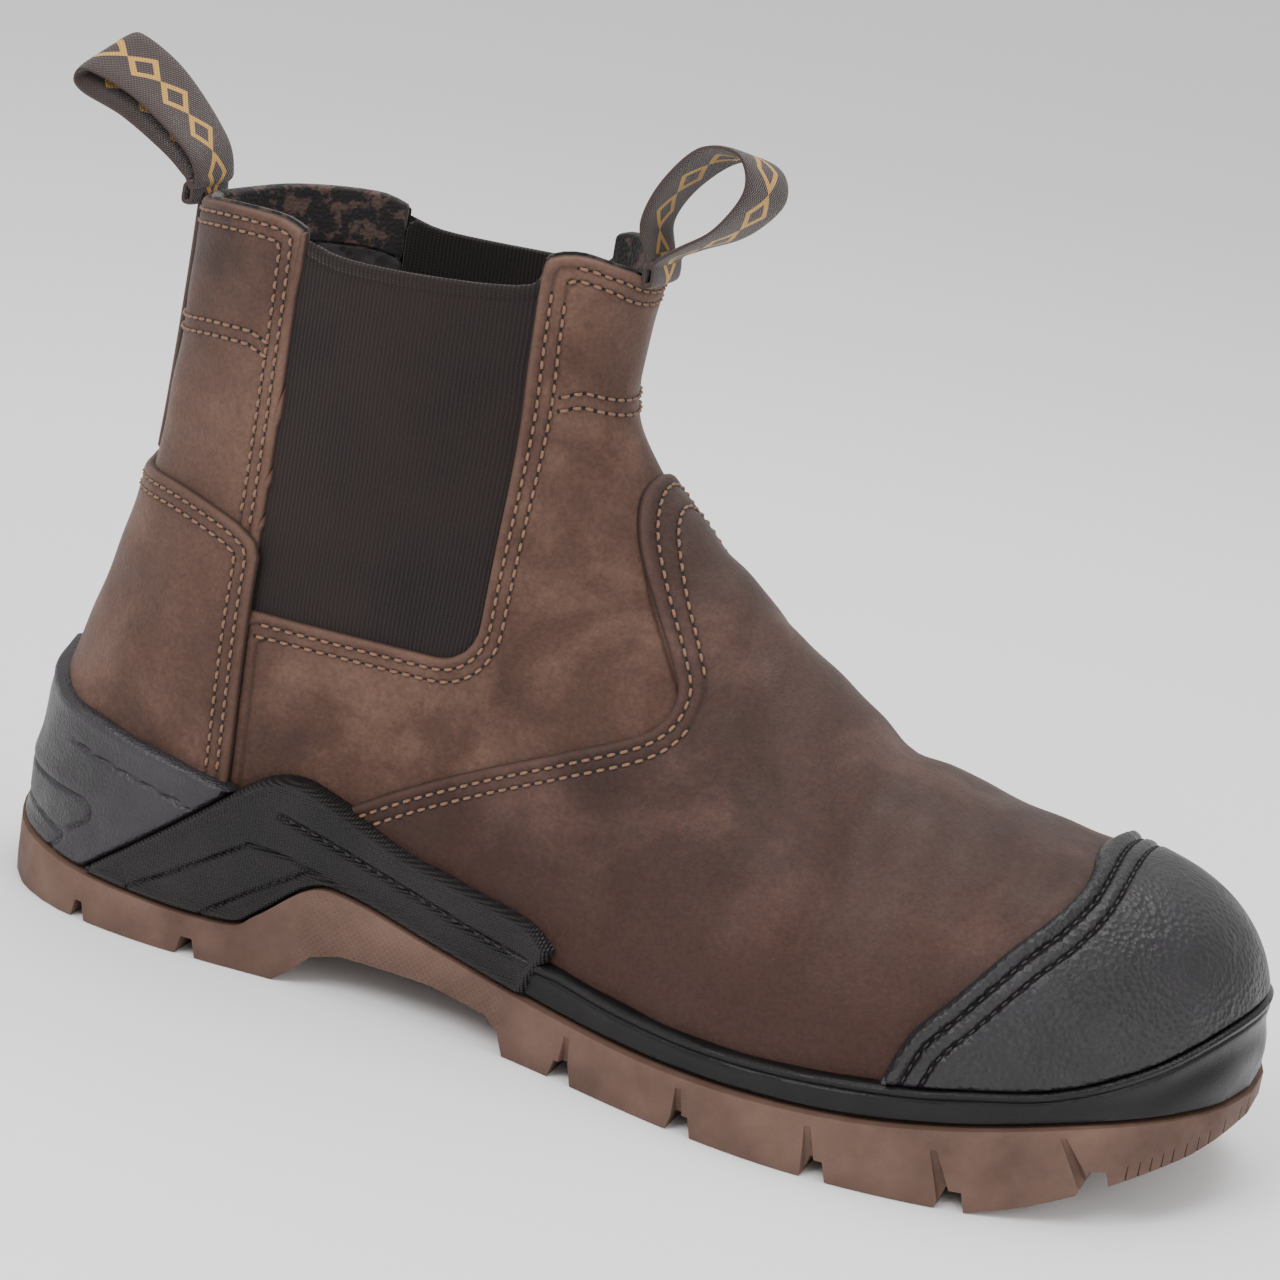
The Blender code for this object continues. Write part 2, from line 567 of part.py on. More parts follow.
def loops():
    lift = LOOP_PIVOT_RADIUS + 2 * GAP
    rear_x = 26.5 * GRADE[0]
    front_x = 140.0 * GRADE[0]
    pull_loop("pull_loop_rear", (rear_x, collar_height(rear_x) + lift), REAR_LOOP)
    pull_loop("pull_loop_front", (front_x, collar_height(front_x) + lift + FRONT_LIFT), FRONT_LOOP)


upper()
sole()
loops()
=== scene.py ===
"""Looks of the right-foot steel toe work boot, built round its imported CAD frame.

The last's surface is the one that part.py grades, sampled finely.  Each panel is the patch of it that
lies inside a side-view outline; its distance to that outline rolls the edge, sinks the seams and
places the stitching.  Pattern points are side-view millimetres from the back of the heel.
"""

import math

import bmesh
import bpy
import numpy as np
from mathutils import Matrix, Vector


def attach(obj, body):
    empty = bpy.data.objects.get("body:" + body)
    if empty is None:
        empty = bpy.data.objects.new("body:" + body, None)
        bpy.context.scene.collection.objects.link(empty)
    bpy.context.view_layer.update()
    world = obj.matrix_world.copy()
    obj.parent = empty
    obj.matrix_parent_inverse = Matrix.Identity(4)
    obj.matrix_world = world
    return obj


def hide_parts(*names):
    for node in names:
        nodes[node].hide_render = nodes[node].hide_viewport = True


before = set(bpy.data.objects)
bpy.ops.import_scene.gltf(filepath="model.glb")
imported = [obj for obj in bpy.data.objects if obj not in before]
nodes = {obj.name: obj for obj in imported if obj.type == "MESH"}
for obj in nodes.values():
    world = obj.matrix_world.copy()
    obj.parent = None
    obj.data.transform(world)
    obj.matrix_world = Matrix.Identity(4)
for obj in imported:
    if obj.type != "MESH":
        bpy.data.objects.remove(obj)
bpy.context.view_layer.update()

MM = 0.001
FRAME_X = 150.0         # pattern x of the frame's origin
GAP = 0.3
SIDES = ("lateral", "medial")
BASE_TOP = 0.0          # layer heights over the outer face of the quarters
BASE_FOOT = -1.9
COVER_FOOT = 0.15
COVER_TOP = 2.2
SHELL_FOOT = 0.3
WALL_TOP = 5.1
LINING_FACE = -2.0
LINING_FOOT = -4.0
SECTION_STEPS = 16
SIDE_STEPS = 54
SKIRT_STEPS = 20
HEEL_SECTION = 17
STRAP_WIDTH = 9.0
LOOP_WIDTH = 18.0
LOOP_THICKNESS = 1.5
SHARP_ANGLE = 40          # degrees between faces that stay an edge
WELD = 2e-5

# Sections of the last, as in part.py: front centre x, z | edge x, lateral y, medial y, z |
# front handle sideways | end handle sideways and up
SECTIONS = np.array([
    (300.5, 31, 300, 4, 15, 28, 3, 0, 1),
    (300, 41, 296.5, -9, 26.5, 27, 10, 0, 6),
    (297, 50, 290, -20, 34, 26, 17, 0, 12),
    (291, 57.5, 280, -30.5, 39.5, 25, 24, 0, 17),
    (281.5, 63, 267, -38.5, 43.5, 23, 31, 0, 21),
    (268, 66.5, 250, -44.5, 46.5, 20, 35, 0, 25),
    (252, 68.5, 232, -48, 47.5, 18, 37, 0, 28),
    (236, 71.5, 214, -49, 46.5, 17, 36, 0, 31),
    (221, 75.5, 196, -47, 43, 17, 34, 0, 34),
    (207, 83, 178, -43, 37.5, 18, 32, 0, 37),
    (190, 94, 160, -38, 32, 20, 31, 0, 39),
    (172.5, 106.5, 140, -33.5, 28, 22, 33, 0, 40),
    (157, 118, 115, -30.5, 27, 25, 36, 0, 38),
    (146, 127.5, 86, -31, 29, 28, 39, 0, 35),
    (140, 135, 56, -32.5, 31, 30, 42, 1, 31),
    (138, 142, 30, -28.5, 27.5, 31, 44, 7, 27),
    (137.6, 148, 13.5, -17, 16.5, 31.5, 45, 21, 25),
    (137.8, 153.5, 6.5, 0, 0, 32, 45, 39, 22),
    (138.4, 158, 8.5, 0, 0, 43, 45, 40, 14),
    (139, 162, 12.5, 0, 0, 58, 45, 40, 6),
    (139.6, 166, 18.5, 0, 0, 78, 45, 39.5, 0),
    (140.2, 170.5, 23.5, 0, 0, 100, 44, 39.5, 0),
    (141, 176, 25.5, 0, 0, 130, 43, 40, 0),
    (142, 183, 26.5, 0, 0, 158, 42, 41, 0),
    (143, 190, 27, 0, 0, 188, 42, 42, 0),
], float)


def smooth(points, steps):
    """Rounds a row of points off with a Catmull-Rom curve, `steps` pieces to a span."""
    p = np.asarray(points, float)
    ends = np.vstack([2 * p[0] - p[1], p, 2 * p[-1] - p[-2]])
    out = []
    for i in range(len(p) - 1):
        a, b, c, d = ends[i:i + 4]
        for k in range(steps):
            u = k / steps
            out.append(0.5 * (2 * b + (c - a) * u + (2 * a - 5 * b + 4 * c - d) * u ** 2
                              + (3 * b - a - 3 * c + d) * u ** 3))
    out.append(p[-1])
    return np.array(out)


def unit(vectors):
    return vectors / np.linalg.norm(vectors, axis=-1, keepdims=True)


def toe_bend(x):
    """How far the front centre line turns towards the medial side."""
    return 9.5 * max(0.0, (x - 175) / 125) ** 1.6


def coarse_last():
    """The last on part.py's own grid, whose sections are evened out round the ankle."""
    steps, sides = 2, 6
    rows = smooth(SECTIONS, steps)
    heel = HEEL_SECTION * steps
    rows[heel:, 3:5] = 0.0
    s = np.linspace(0, 1, sides + 1)[:, None]
    grid = np.zeros((len(rows), 2 * sides + 1, 3))
    for i, (fx, fz, bx, lateral, medial, bz, front, wide, up) in enumerate(rows):
        for sign, y in ((-1, lateral), (1, medial)):
            p0 = np.array([fx, toe_bend(fx), fz])
            p3 = np.array([bx, y, bz])
            p1 = p0 + (0, sign * front, 0)
            p2 = p3 + (0, sign * wide, up)
            side = ((1 - s) ** 3 * p0 + 3 * s * (1 - s) ** 2 * p1
                    + 3 * s * s * (1 - s) * p2 + s ** 3 * p3)
            grid[i, sides + sign * np.arange(sides + 1)] = side
    hold = 1 - np.abs(np.linspace(-1, 1, 2 * sides + 1))[None, :, None] ** 3
    first, last = 11 * steps, 23 * steps
    for _ in range(12):
        pull = (grid[first - 1:last - 1] + grid[first + 1:last + 1]) / 2 - grid[first:last]
        grid[first:last] += pull * hold / 2
    return grid, heel


def refine(values, steps):
    """Catmull-Rom refinement along the first axis of a grid."""
    flat = values.reshape(len(values), -1)
    return smooth(flat, steps).reshape(-1, *values.shape[1:])


def fine_last():
    """Points and outward normals, [section, across], with the sole walls hung on both edges."""
    grid, heel = coarse_last()
    grid = refine(grid, SECTION_STEPS // 2)
    across = SIDE_STEPS // 6
    grid = refine(grid.transpose(1, 0, 2), across).transpose(1, 0, 2)
    heel *= SECTION_STEPS // 2
    grid[heel:, [0, -1], 1] = 0.0
    for _ in range(10):
        grid[1:-1, 1:-1] = (grid[:-2, 1:-1] + 2 * grid[1:-1, 1:-1] + grid[2:, 1:-1]) / 4
    normal = np.cross(np.gradient(grid, axis=1), np.gradient(grid, axis=0))
    normal /= np.linalg.norm(normal, axis=2, keepdims=True) + 1e-12
    for _ in range(40):
        normal[1:-1] = (normal[:-2] + normal[1:-1] + normal[2:]) / 3
    seam = (normal[heel:, 0] + normal[heel:, -1]) * (0.5, 0, 0.5)
    normal[heel:, [0, -1]] = seam[:, None]
    normal[:heel + 1, [0, -1], 2] = 0.0
    return grid, unit(normal), heel


GRID, NORMAL, HEEL_ROW = fine_last()


def close_tip(rows):
    """Adds a row in which the two sides meet, so that the walls close at the tip of the toe."""
    return np.concatenate([(rows[:1] + rows[:1, ::-1]) / 2, rows])


def whole_surface():
    """The last with vertical walls hung from its lasting edge: points, normals, triangles, zones."""
    drop = np.linspace(1, 0, SKIRT_STEPS, endpoint=False)[None, :, None] * GRID[:, :1, 2:] * (0, 0, 1)
    point_rows = np.concatenate([GRID[:, :1] - drop, GRID, (GRID[:, -1:] - drop)[:, ::-1]], axis=1)
    ends = [np.repeat(NORMAL[:, [k]], SKIRT_STEPS, axis=1) for k in (0, -1)]
    normal_rows = np.concatenate([ends[0], NORMAL, ends[1]], axis=1)
    point_rows = close_tip(point_rows)
    normal_rows = close_tip(normal_rows)
    normal_rows[0] = unit(normal_rows[0])
    rows, columns = point_rows.shape[:2]
    middle = (columns - 1) // 2
    index = np.arange(rows * columns).reshape(rows, columns)
    a, b, c, e = index[:-1, :-1], index[:-1, 1:], index[1:, 1:], index[1:, :-1]
    row, column = np.mgrid[0:rows - 1, 0:columns - 1]
    skirt = (column < SKIRT_STEPS) | (column >= columns - 1 - SKIRT_STEPS)
    real = ~(skirt & (row > HEEL_ROW))
    triangles = np.concatenate([np.stack([a, b, c], -1)[real], np.stack([a, c, e], -1)[real]])
    zones = np.concatenate([np.stack([skirt, column < middle], -1)[real]] * 2)
    flat = point_rows.reshape(-1, 3)
    _, first, same = np.unique(np.round(flat, 3), axis=0, return_index=True, return_inverse=True)
    triangles = same.ravel()[triangles]
    whole = (triangles != np.roll(triangles, 1, axis=1)).all(1)
    return flat[first], normal_rows.reshape(-1, 3)[first], triangles[whole], zones[whole]


POINTS, NORMALS, TRIANGLES, ZONES = whole_surface()
SIDE_X, SIDE_Z = POINTS[:, 0], POINTS[:, 2]


def segments(line, closed):
    a = np.asarray(line, float)
    b = np.roll(a, -1, axis=0) if closed else a[1:]
    return (a, b) if closed else (a[:-1], b)


def distance_to_line(x, z, line, closed=False):
    """Side-view distance of the points x, z to a line."""
    best = np.full(x.shape, 1e9)
    for (ax, az), (bx, bz) in zip(*segments(line, closed)):
        dx, dz = bx - ax, bz - az
        length = dx * dx + dz * dz + 1e-12
        t = np.clip(((x - ax) * dx + (z - az) * dz) / length, 0, 1)
        best = np.minimum(best, (x - ax - t * dx) ** 2 + (z - az - t * dz) ** 2)
    return np.sqrt(best)


def inside(x, z, outline):
    hit = np.zeros(x.shape, bool)
    for (ax, az), (bx, bz) in zip(*segments(outline, True)):
        if az == bz:
            continue
        crosses = (az > z) != (bz > z)
        hit ^= crosses & (x < (bx - ax) * (z - az) / (bz - az) + ax)
    return hit


def signed(x, z, outline):
    """Distance inside an outline, negative outside."""
    d = distance_to_line(x, z, outline, True)
    return np.where(inside(x, z, outline), d, -d)


def depth(outline):
    """Distance of the last's points inside an outline."""
    return signed(SIDE_X, SIDE_Z, outline)


def bell(x, centre, width):
    return np.exp(-((x - centre) / width) ** 2)


def split(values, triangles, column, level):
    """Cuts the triangles along values[:, column] == level."""
    s = values[:, column] - level
    above = (s > 0)[triangles]
    count = above.sum(1)
    mixed = (count == 1) | (count == 2)
    work = triangles[mixed]
    lone = np.where(count[mixed][:, None] == 1, above[mixed], ~above[mixed]).argmax(1)
    r = np.arange(len(work))
    a, b, c = (work[r, (lone + k) % 3] for k in range(3))
    pairs = np.sort(np.concatenate([np.stack([a, b], 1), np.stack([a, c], 1)]), 1)
    edges, same = np.unique(pairs, axis=0, return_inverse=True)
    low, high = edges.T
    share = (s[low] / (s[low] - s[high]))[:, None]
    fresh = values[low] + (values[high] - values[low]) * share
    fresh[:, column] = level
    made = len(values) + same.ravel()
    ab, ac = made[:len(work)], made[len(work):]
    pieces = [triangles[~mixed], np.stack([a, ab, ac], 1), np.stack([ab, b, c], 1), np.stack([ab, c, ac], 1)]
    return np.vstack([values, fresh]), np.vstack(pieces)


def sides_of(triangles):
    return np.concatenate([triangles[:, [k, (k + 1) % 3]] for k in range(3)])


def quarter(values, triangles):
    """Each triangle into four, at the middles of its edges."""
    pairs = np.sort(sides_of(triangles), 1)
    edges, same = np.unique(pairs, axis=0, return_inverse=True)
    middles = (values[edges[:, 0]] + values[edges[:, 1]]) / 2
    ab, bc, ca = (len(values) + same.ravel()).reshape(3, -1)
    a, b, c = triangles.T
    pieces = [np.stack(t, 1) for t in ((a, ab, ca), (ab, b, bc), (ca, bc, c), (ab, bc, ca))]
    return np.vstack([values, middles]), np.vstack(pieces)


def contour(values, triangles, field, level):
    """Rows of interpolated values along field == level, chained into lines."""
    s = field - level
    above = (s > 0)[triangles]
    mixed = above.any(1) & ~above.all(1)
    links = {}
    for t, up in zip(triangles[mixed], above[mixed]):
        ends = []
        for k in range(3):
            if up[k] != up[(k + 1) % 3]:
                p, q = int(t[k]), int(t[(k + 1) % 3])
                ends.append((min(p, q), max(p, q)))
        links.setdefault(ends[0], []).append(ends[1])
        links.setdefault(ends[1], []).append(ends[0])
    lines, seen = [], set()
    for start in sorted(links, key=lambda e: (len(links[e]), e)):
        if start in seen:
            continue
        chain, here = [], start
        while here is not None:
            seen.add(here)
            chain.append(here)
            here = next((n for n in links[here] if n not in seen), None)
        if len(chain) > 2:
            low, high = np.array(chain).T
            share = (s[low] / (s[low] - s[high]))[:, None]
            lines.append(values[low] + (values[high] - values[low]) * share)
    return lines


def link(obj):
    bpy.context.scene.collection.objects.link(obj)
    return obj


def from_bmesh(name, bm):
    """A linked object from a bmesh, which is freed."""
    mesh = bpy.data.meshes.new(name)
    bm.to_mesh(mesh)
    bm.free()
    return link(bpy.data.objects.new(name, mesh))


def to_frame(points):
    """Pattern millimetres to the frame's metres."""
    return (np.asarray(points, float) - (FRAME_X, 0, 0)) * MM


def build_mesh(name, points, faces, look, attributes=None, weld=True):
    """A shaded mesh object from arrays, with per-point float attributes."""
    mesh = bpy.data.meshes.new(name)
    mesh.from_pydata(to_frame(points).tolist(), [], faces)
    for key, values in (attributes or {}).items():
        layer = mesh.attributes.new(key, "FLOAT", "POINT")
        layer.data.foreach_set("value", np.asarray(values, np.float32))
    bm = bmesh.new()
    bm.from_mesh(mesh)
    if weld:
        bmesh.ops.remove_doubles(bm, verts=bm.verts, dist=WELD)
        bmesh.ops.dissolve_degenerate(bm, edges=bm.edges, dist=1e-6)
        bmesh.ops.recalc_face_normals(bm, faces=bm.faces)
    bm.to_mesh(mesh)
    bm.free()
    mesh.materials.append(look)
    mesh.shade_smooth()
    mesh.set_sharp_from_angle(angle=math.radians(SHARP_ANGLE))
    return link(bpy.data.objects.new(name, mesh))


PANELS = {}
ROLL_LEVELS = (0.03, 0.12, 0.3, 0.6, 1.0)


def around(*centres, width=0.5):
    """Levels that resolve a groove or ridge at each centre."""
    return [c + k * width for c in centres for k in (-1.6, -0.9, -0.4, 0, 0.4, 0.9, 1.6)]


def panel(name, outline, top, foot, look, slot, cad, side="both", roll=1.2, skirt=False, shape=None,
          body="boot", extra=None, field=None, seams=(), guides=(), cuts=(), finer=0):
    """A closed layer of the last inside `outline`, from `foot` to `top`, with rolled edges.

    field is a ready-made distance field in place of the outline, and extra a second outline to stay
    inside of.  seams are the distances of its stitch rows from the edge.  guides are functions of
    side-view x and z, and cuts are (guide, levels) along which the mesh is cut.  finer is how many
    times its triangles are quartered first.  shape(height, x, y, z, d, *guides) changes the heights.
    """
    d = depth(outline) if field is None else field
    if extra is not None:
        d = np.minimum(d, depth(extra))
    keep = np.ones(len(TRIANGLES), bool)
    if not skirt:
        keep &= ~ZONES[:, 0]
    if side != "both":
        keep &= ZONES[:, 1] == (side == "lateral")
    triangles = TRIANGLES[keep]
    triangles = triangles[(d[triangles] > 0).any(1)]
    values = np.column_stack([POINTS, NORMALS, d])
    for _ in range(finer):
        values, triangles = quarter(values, triangles)
    values = np.column_stack([values, *(guide(values[:, 0], values[:, 2]) for guide in guides)])
    values, triangles = split(values, triangles, 6, 0.0)
    triangles = triangles[(values[triangles, 6] >= 0).all(1) & (values[triangles, 6].max(1) > 0)]
    for level in (*(roll * r for r in ROLL_LEVELS), *around(*seams)):
        values, triangles = split(values, triangles, 6, level)
    for guide, levels in cuts:
        for level in levels:
            values, triangles = split(values, triangles, 7 + guide, level)
    used, triangles = np.unique(triangles, return_inverse=True)
    triangles = triangles.reshape(-1, 3)
    values = values[used]
    d = values[:, 6]
    x, y, z = values[:, :3].T
    curl = np.clip(d / roll, 0, 1)
    height = np.full(len(d), float(top))
    if shape is not None:
        height = shape(height, x, y, z, d, *values[:, 7:].T)
    sunk = np.zeros(len(d))
    for seam in seams:
        sunk = np.maximum(sunk, bell(d, seam, 0.55))
    height = height - 0.4 * sunk * np.sign(top - foot)
    height = foot + (height - foot) * np.sqrt(1 - (1 - curl) ** 2)
    outer = values[:, :3] + values[:, 3:6] * height[:, None]
    inner = values[:, :3] + values[:, 3:6] * foot
    count = len(values)
    edges = sides_of(triangles)
    _, first, times = np.unique(np.sort(edges, 1), axis=0, return_index=True, return_counts=True)
    rim = edges[first[times == 1]]
    rim = rim[(d[rim] > 1e-6).any(1)]
    faces = triangles.tolist() + (triangles[:, ::-1] + count).tolist()
    faces += [(b, a, a + count, b + count) for a, b in rim.tolist()]
    # The edge and seam values also colour the pieces: a painted highlight along the edges, which on leather
    # is partly rubbed wear, a dark cut edge of edge dye and painted shadow, and painted shade in the seam
    # grooves.
    attributes = {"edge": np.concatenate([d, np.zeros(count)]), "seam": np.concatenate([sunk, sunk])}
    obj = build_mesh(name, np.vstack([outer, inner]), faces, look, attributes)
    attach(obj, body)
    if cad:
        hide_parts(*cad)
    PANELS[name] = (outer, values, triangles)
    return obj


# ---- Materials ----

class Graph:
    """A material's node tree, with short calls for the nodes that are used here."""

    def __init__(self, name, roughness=0.6, **sockets):
        self.material = bpy.data.materials.new(name)
        self.material.use_nodes = True
        self.tree = self.material.node_tree
        self.shader = self.tree.nodes["Principled BSDF"]
        self.shader.inputs["Roughness"].default_value = roughness
        for key, value in sockets.items():
            self.shader.inputs[key.replace("_", " ")].default_value = value
        self.place = self.add("ShaderNodeTexCoord").outputs["Object"]

    def feed(self, socket, value):
        """A link from another node, or a plain value."""
        if hasattr(value, "links"):
            self.tree.links.new(value, socket)
        else:
            socket.default_value = value

    def add(self, kind, inputs=None, **settings):
        node = self.tree.nodes.new(kind)
        for key, value in settings.items():
            setattr(node, key, value)
        for key, value in (inputs or {}).items():
            self.feed(node.inputs[key], value)
        return node

    def noise(self, scale, detail=4.0, rough=0.55, warp=0.0):
        inputs = {"Vector": self.place, "Scale": scale, "Detail": detail, "Roughness": rough}
        return self.add("ShaderNodeTexNoise", {**inputs, "Distortion": warp}).outputs["Fac"]

    def cells(self, scale):
        return self.add("ShaderNodeTexVoronoi", {"Scale": scale, "Vector": self.place}).outputs["Distance"]

    def math(self, operation, a, b=0.0):
        return self.add("ShaderNodeMath", {0: a, 1: b}, operation=operation).outputs[0]

    def times(self, a, b):
        return self.math("MULTIPLY", a, b)

    def wave(self, value, pitch):
        """A sine that repeats every `pitch` of the value."""
        return self.math("SINE", self.times(value, 2 * math.pi / pitch))

    def diagonals(self, pitch):
        """Two waves that cross at right angles on the boot's side."""
        x, z = self.axis(0), self.axis(2)
        return [self.wave(self.math(turn, x, z), pitch) for turn in ("ADD", "SUBTRACT")]

    def axis(self, number):
        return self.add("ShaderNodeSeparateXYZ", {0: self.place}).outputs[number]

    def attribute(self, name):
        return self.add("ShaderNodeAttribute", attribute_name=name).outputs["Fac"]

    def ramp(self, value, *stops):
        node = self.add("ShaderNodeValToRGB", {0: value})
        elements = node.color_ramp.elements
        while len(elements) < len(stops):
            elements.new(0.5)
        for element, (place, colour) in zip(elements, stops):
            element.position = place
            element.color = (*colour, 1)
        return node.outputs[0]

    def mix(self, factor, a, b, blend="MIX"):
        colours = {6 + k: (*c, 1) if isinstance(c, tuple) else c for k, c in enumerate((a, b))}
        node = self.add("ShaderNodeMix", {0: factor, **colours}, data_type="RGBA", blend_type=blend)
        return node.outputs[2]

    def span(self, value, low, high, new_low=0.0, new_high=1.0):
        return self.add("ShaderNodeMapRange", {0: value, 1: low, 2: high, 3: new_low, 4: new_high}).outputs[0]

    def bump(self, height, strength, distance):
        inputs = {"Strength": strength, "Distance": distance, "Height": height}
        return self.add("ShaderNodeBump", inputs).outputs[0]

    def finish(self, colour, roughness, normal):
        for key, value in (("Base Color", colour), ("Roughness", roughness), ("Normal", normal)):
            if value is not None:
                self.feed(self.shader.inputs[key], value)
        return self.material


def srgb(r, g, b):
    """A linear colour from 0-255 screen values."""
    return tuple(((v / 255 + 0.055) / 1.055) ** 2.4 if v > 10 else v / 3295 for v in (r, g, b))


def oiled_nubuck(name, dark, middle, light, red_and_shade=None, red_and_shade_below=0.0):
    """Pull-up leather: cloudy patches, fine nap and pores, pale rubbed edges that are partly a painted
    highlight, a dark cut edge of edge dye and painted shadow, painted shade in the seam grooves and,
    where given, a lower part made darker and redder, its own tone and painted shade.
    """
    g = Graph(name, 0.62, Specular_IOR_Level=0.22, Sheen_Weight=0.05, Sheen_Roughness=0.5)
    clouds = g.noise(34, 5, 0.6, 0.4)
    colour = g.ramp(clouds, (0.28, dark), (0.5, middle), (0.74, light))
    colour = g.mix(g.span(g.noise(11, 3, 0.5), 0.42, 0.66, 0.0, 0.4), colour, light)
    if red_and_shade is not None:
        # Darker and redder towards the bottom: partly the leather's own reddish tone, partly painted shade.
        low = g.span(g.axis(2), red_and_shade_below, red_and_shade_below - 0.035, 0.0, 0.8)
        colour = g.mix(g.times(low, g.span(clouds, 0.2, 0.6, 0.5, 1.0)), colour, red_and_shade)
    specks = g.span(g.noise(900, 3, 0.7), 0.35, 0.65, 0.78, 1.12)
    shade = g.add("ShaderNodeCombineColor")
    for socket in shade.inputs[:3]:
        g.feed(socket, specks)
    colour = g.mix(1.0, colour, shade.outputs[0], "MULTIPLY")
    # Paler band within 1.5 mm of the edge: rubbed wear, partly a painted highlight on the rolled edge.
    colour = g.mix(g.span(g.attribute("edge"), 0.4, 1.5, 0.35, 0.0), colour, light)
    # Near-black on the cut edge, its wall and the underside: edge dye and a painted shadow along the edge.
    colour = g.mix(g.span(g.attribute("edge"), 0.0, 0.3, 0.8, 0.0), colour, srgb(20, 13, 11))
    # Darker along the sunk seam grooves: painted shade.
    colour = g.mix(g.times(g.attribute("seam"), 0.55), colour, dark)
    height = g.math("ADD", g.times(g.noise(160, 5, 0.65), 0.55),
                    g.times(g.noise(1400, 3, 0.6), 0.35))
    pores = g.times(g.cells(1500), 0.25)
    normal = g.bump(g.math("ADD", height, pores), 0.5, 0.0006)
    rough = g.span(g.noise(60, 4, 0.6), 0.3, 0.7, 0.5, 0.74)
    return g.finish(colour, rough, normal)


def pebbled(name, dark, light, scale, strength, roughness, gloss):
    """Moulded polymer with a leather-like grain, paler along its edges as a painted highlight."""
    g = Graph(name, roughness, Specular_IOR_Level=gloss)
    grain = g.cells(scale)
    colour = g.ramp(g.noise(45, 4, 0.6), (0.35, dark), (0.7, light))
    # Paler within 1 mm of the edges: painted highlight.
    colour = g.mix(g.span(g.attribute("edge"), 0.2, 1.0, 0.35, 0.0), colour, light)
    normal = g.bump(g.math("ADD", grain, g.times(g.noise(2200, 2), 0.3)), strength, 0.0005)
    rough = g.span(g.noise(120, 3), 0.3, 0.7, roughness - 0.06, roughness + 0.1)
    return g.finish(colour, rough, normal)


def woven_polymer(name, dark, light):
    """The stabiliser's fine diagonal weave texture."""
    g = Graph(name, 0.5, Specular_IOR_Level=0.45)
    weave = g.times(*g.diagonals(0.0013))
    colour = g.ramp(g.noise(50, 4), (0.35, dark), (0.7, light))
    colour = g.mix(g.span(weave, 0.1, 0.9, 0.0, 0.55), colour, light)
    return g.finish(colour, None, g.bump(weave, 0.8, 0.0006))


def ribbed_elastic(name):
    g = Graph(name, 0.85, Specular_IOR_Level=0.2, Sheen_Weight=0.25, Sheen_Roughness=0.4)
    wobble = g.times(g.noise(45, 2), 0.0011)
    ribs = g.wave(g.math("ADD", g.axis(0), wobble), 0.00098)
    picks = g.wave(g.axis(2), 0.0007)
    cloth = g.math("ADD", ribs, g.times(picks, 0.35))
    colour = g.ramp(g.span(cloth, -1.2, 1.2), (0.0, srgb(18, 14, 15)), (1.0, srgb(36, 29, 29)))
    warm = g.span(g.noise(24, 3), 0.4, 0.7, 0.0, 0.4)
    colour = g.mix(warm, colour, srgb(46, 34, 31))
    return g.finish(colour, None, g.bump(cloth, 0.4, 0.00025))


def mesh_lining(name, yarn, hole, scale):
    """Spacer mesh: round holes in a knitted face, painted near-black as painted shade, with blotches towards
    that dark colour.
    """
    g = Graph(name, 0.9, Sheen_Weight=0.2)
    cells = g.cells(scale)
    # Near-black in the holes: painted shade.
    colour = g.ramp(cells, (0.18, hole), (0.38, yarn))
    blotch = g.span(g.noise(140, 3), 0.45, 0.6, 0.0, 0.5)
    colour = g.mix(blotch, colour, hole)
    return g.finish(colour, None, g.bump(cells, 0.9, 0.0009))


def collar_cloth(name):
    """Dark knitted trim with soft brown blotches."""
    g = Graph(name, 0.9, Sheen_Weight=0.15)
    blotch = g.span(g.noise(230, 3, 0.6), 0.5, 0.58)
    colour = g.mix(blotch, srgb(18, 13, 13), srgb(72, 54, 48))
    return g.finish(colour, None, g.bump(g.cells(1100), 0.6, 0.0004))


def moulded_rubber(name):
    """Tan outsole rubber, a little dusty, with a faint cross-hatch."""
    g = Graph(name, 0.68, Specular_IOR_Level=0.3)
    colour = g.ramp(g.noise(38, 5, 0.62), (0.3, srgb(74, 54, 45)), (0.52, srgb(93, 70, 60)),
                    (0.78, srgb(112, 87, 75)))
    waist = g.times(g.span(g.axis(0), -0.060, -0.057), g.span(g.axis(0), -0.004, -0.008))
    hatch = g.times(g.times(g.math("MAXIMUM", *g.diagonals(0.0016)), 0.9), waist)
    height = g.math("ADD", g.noise(900, 3), hatch)
    return g.finish(colour, g.span(g.noise(200, 3), 0.3, 0.7, 0.6, 0.78), g.bump(height, 0.4, 0.0003))


def plain_weave(name, dark, light, pitch):
    g = Graph(name, 0.85, Sheen_Weight=0.2)
    weave = g.times(g.wave(g.axis(0), pitch), g.wave(g.axis(1), pitch))
    colour = g.ramp(g.span(weave, -1, 1), (0.0, dark), (1.0, light))
    return g.finish(colour, None, g.bump(weave, 0.6, 0.0004))


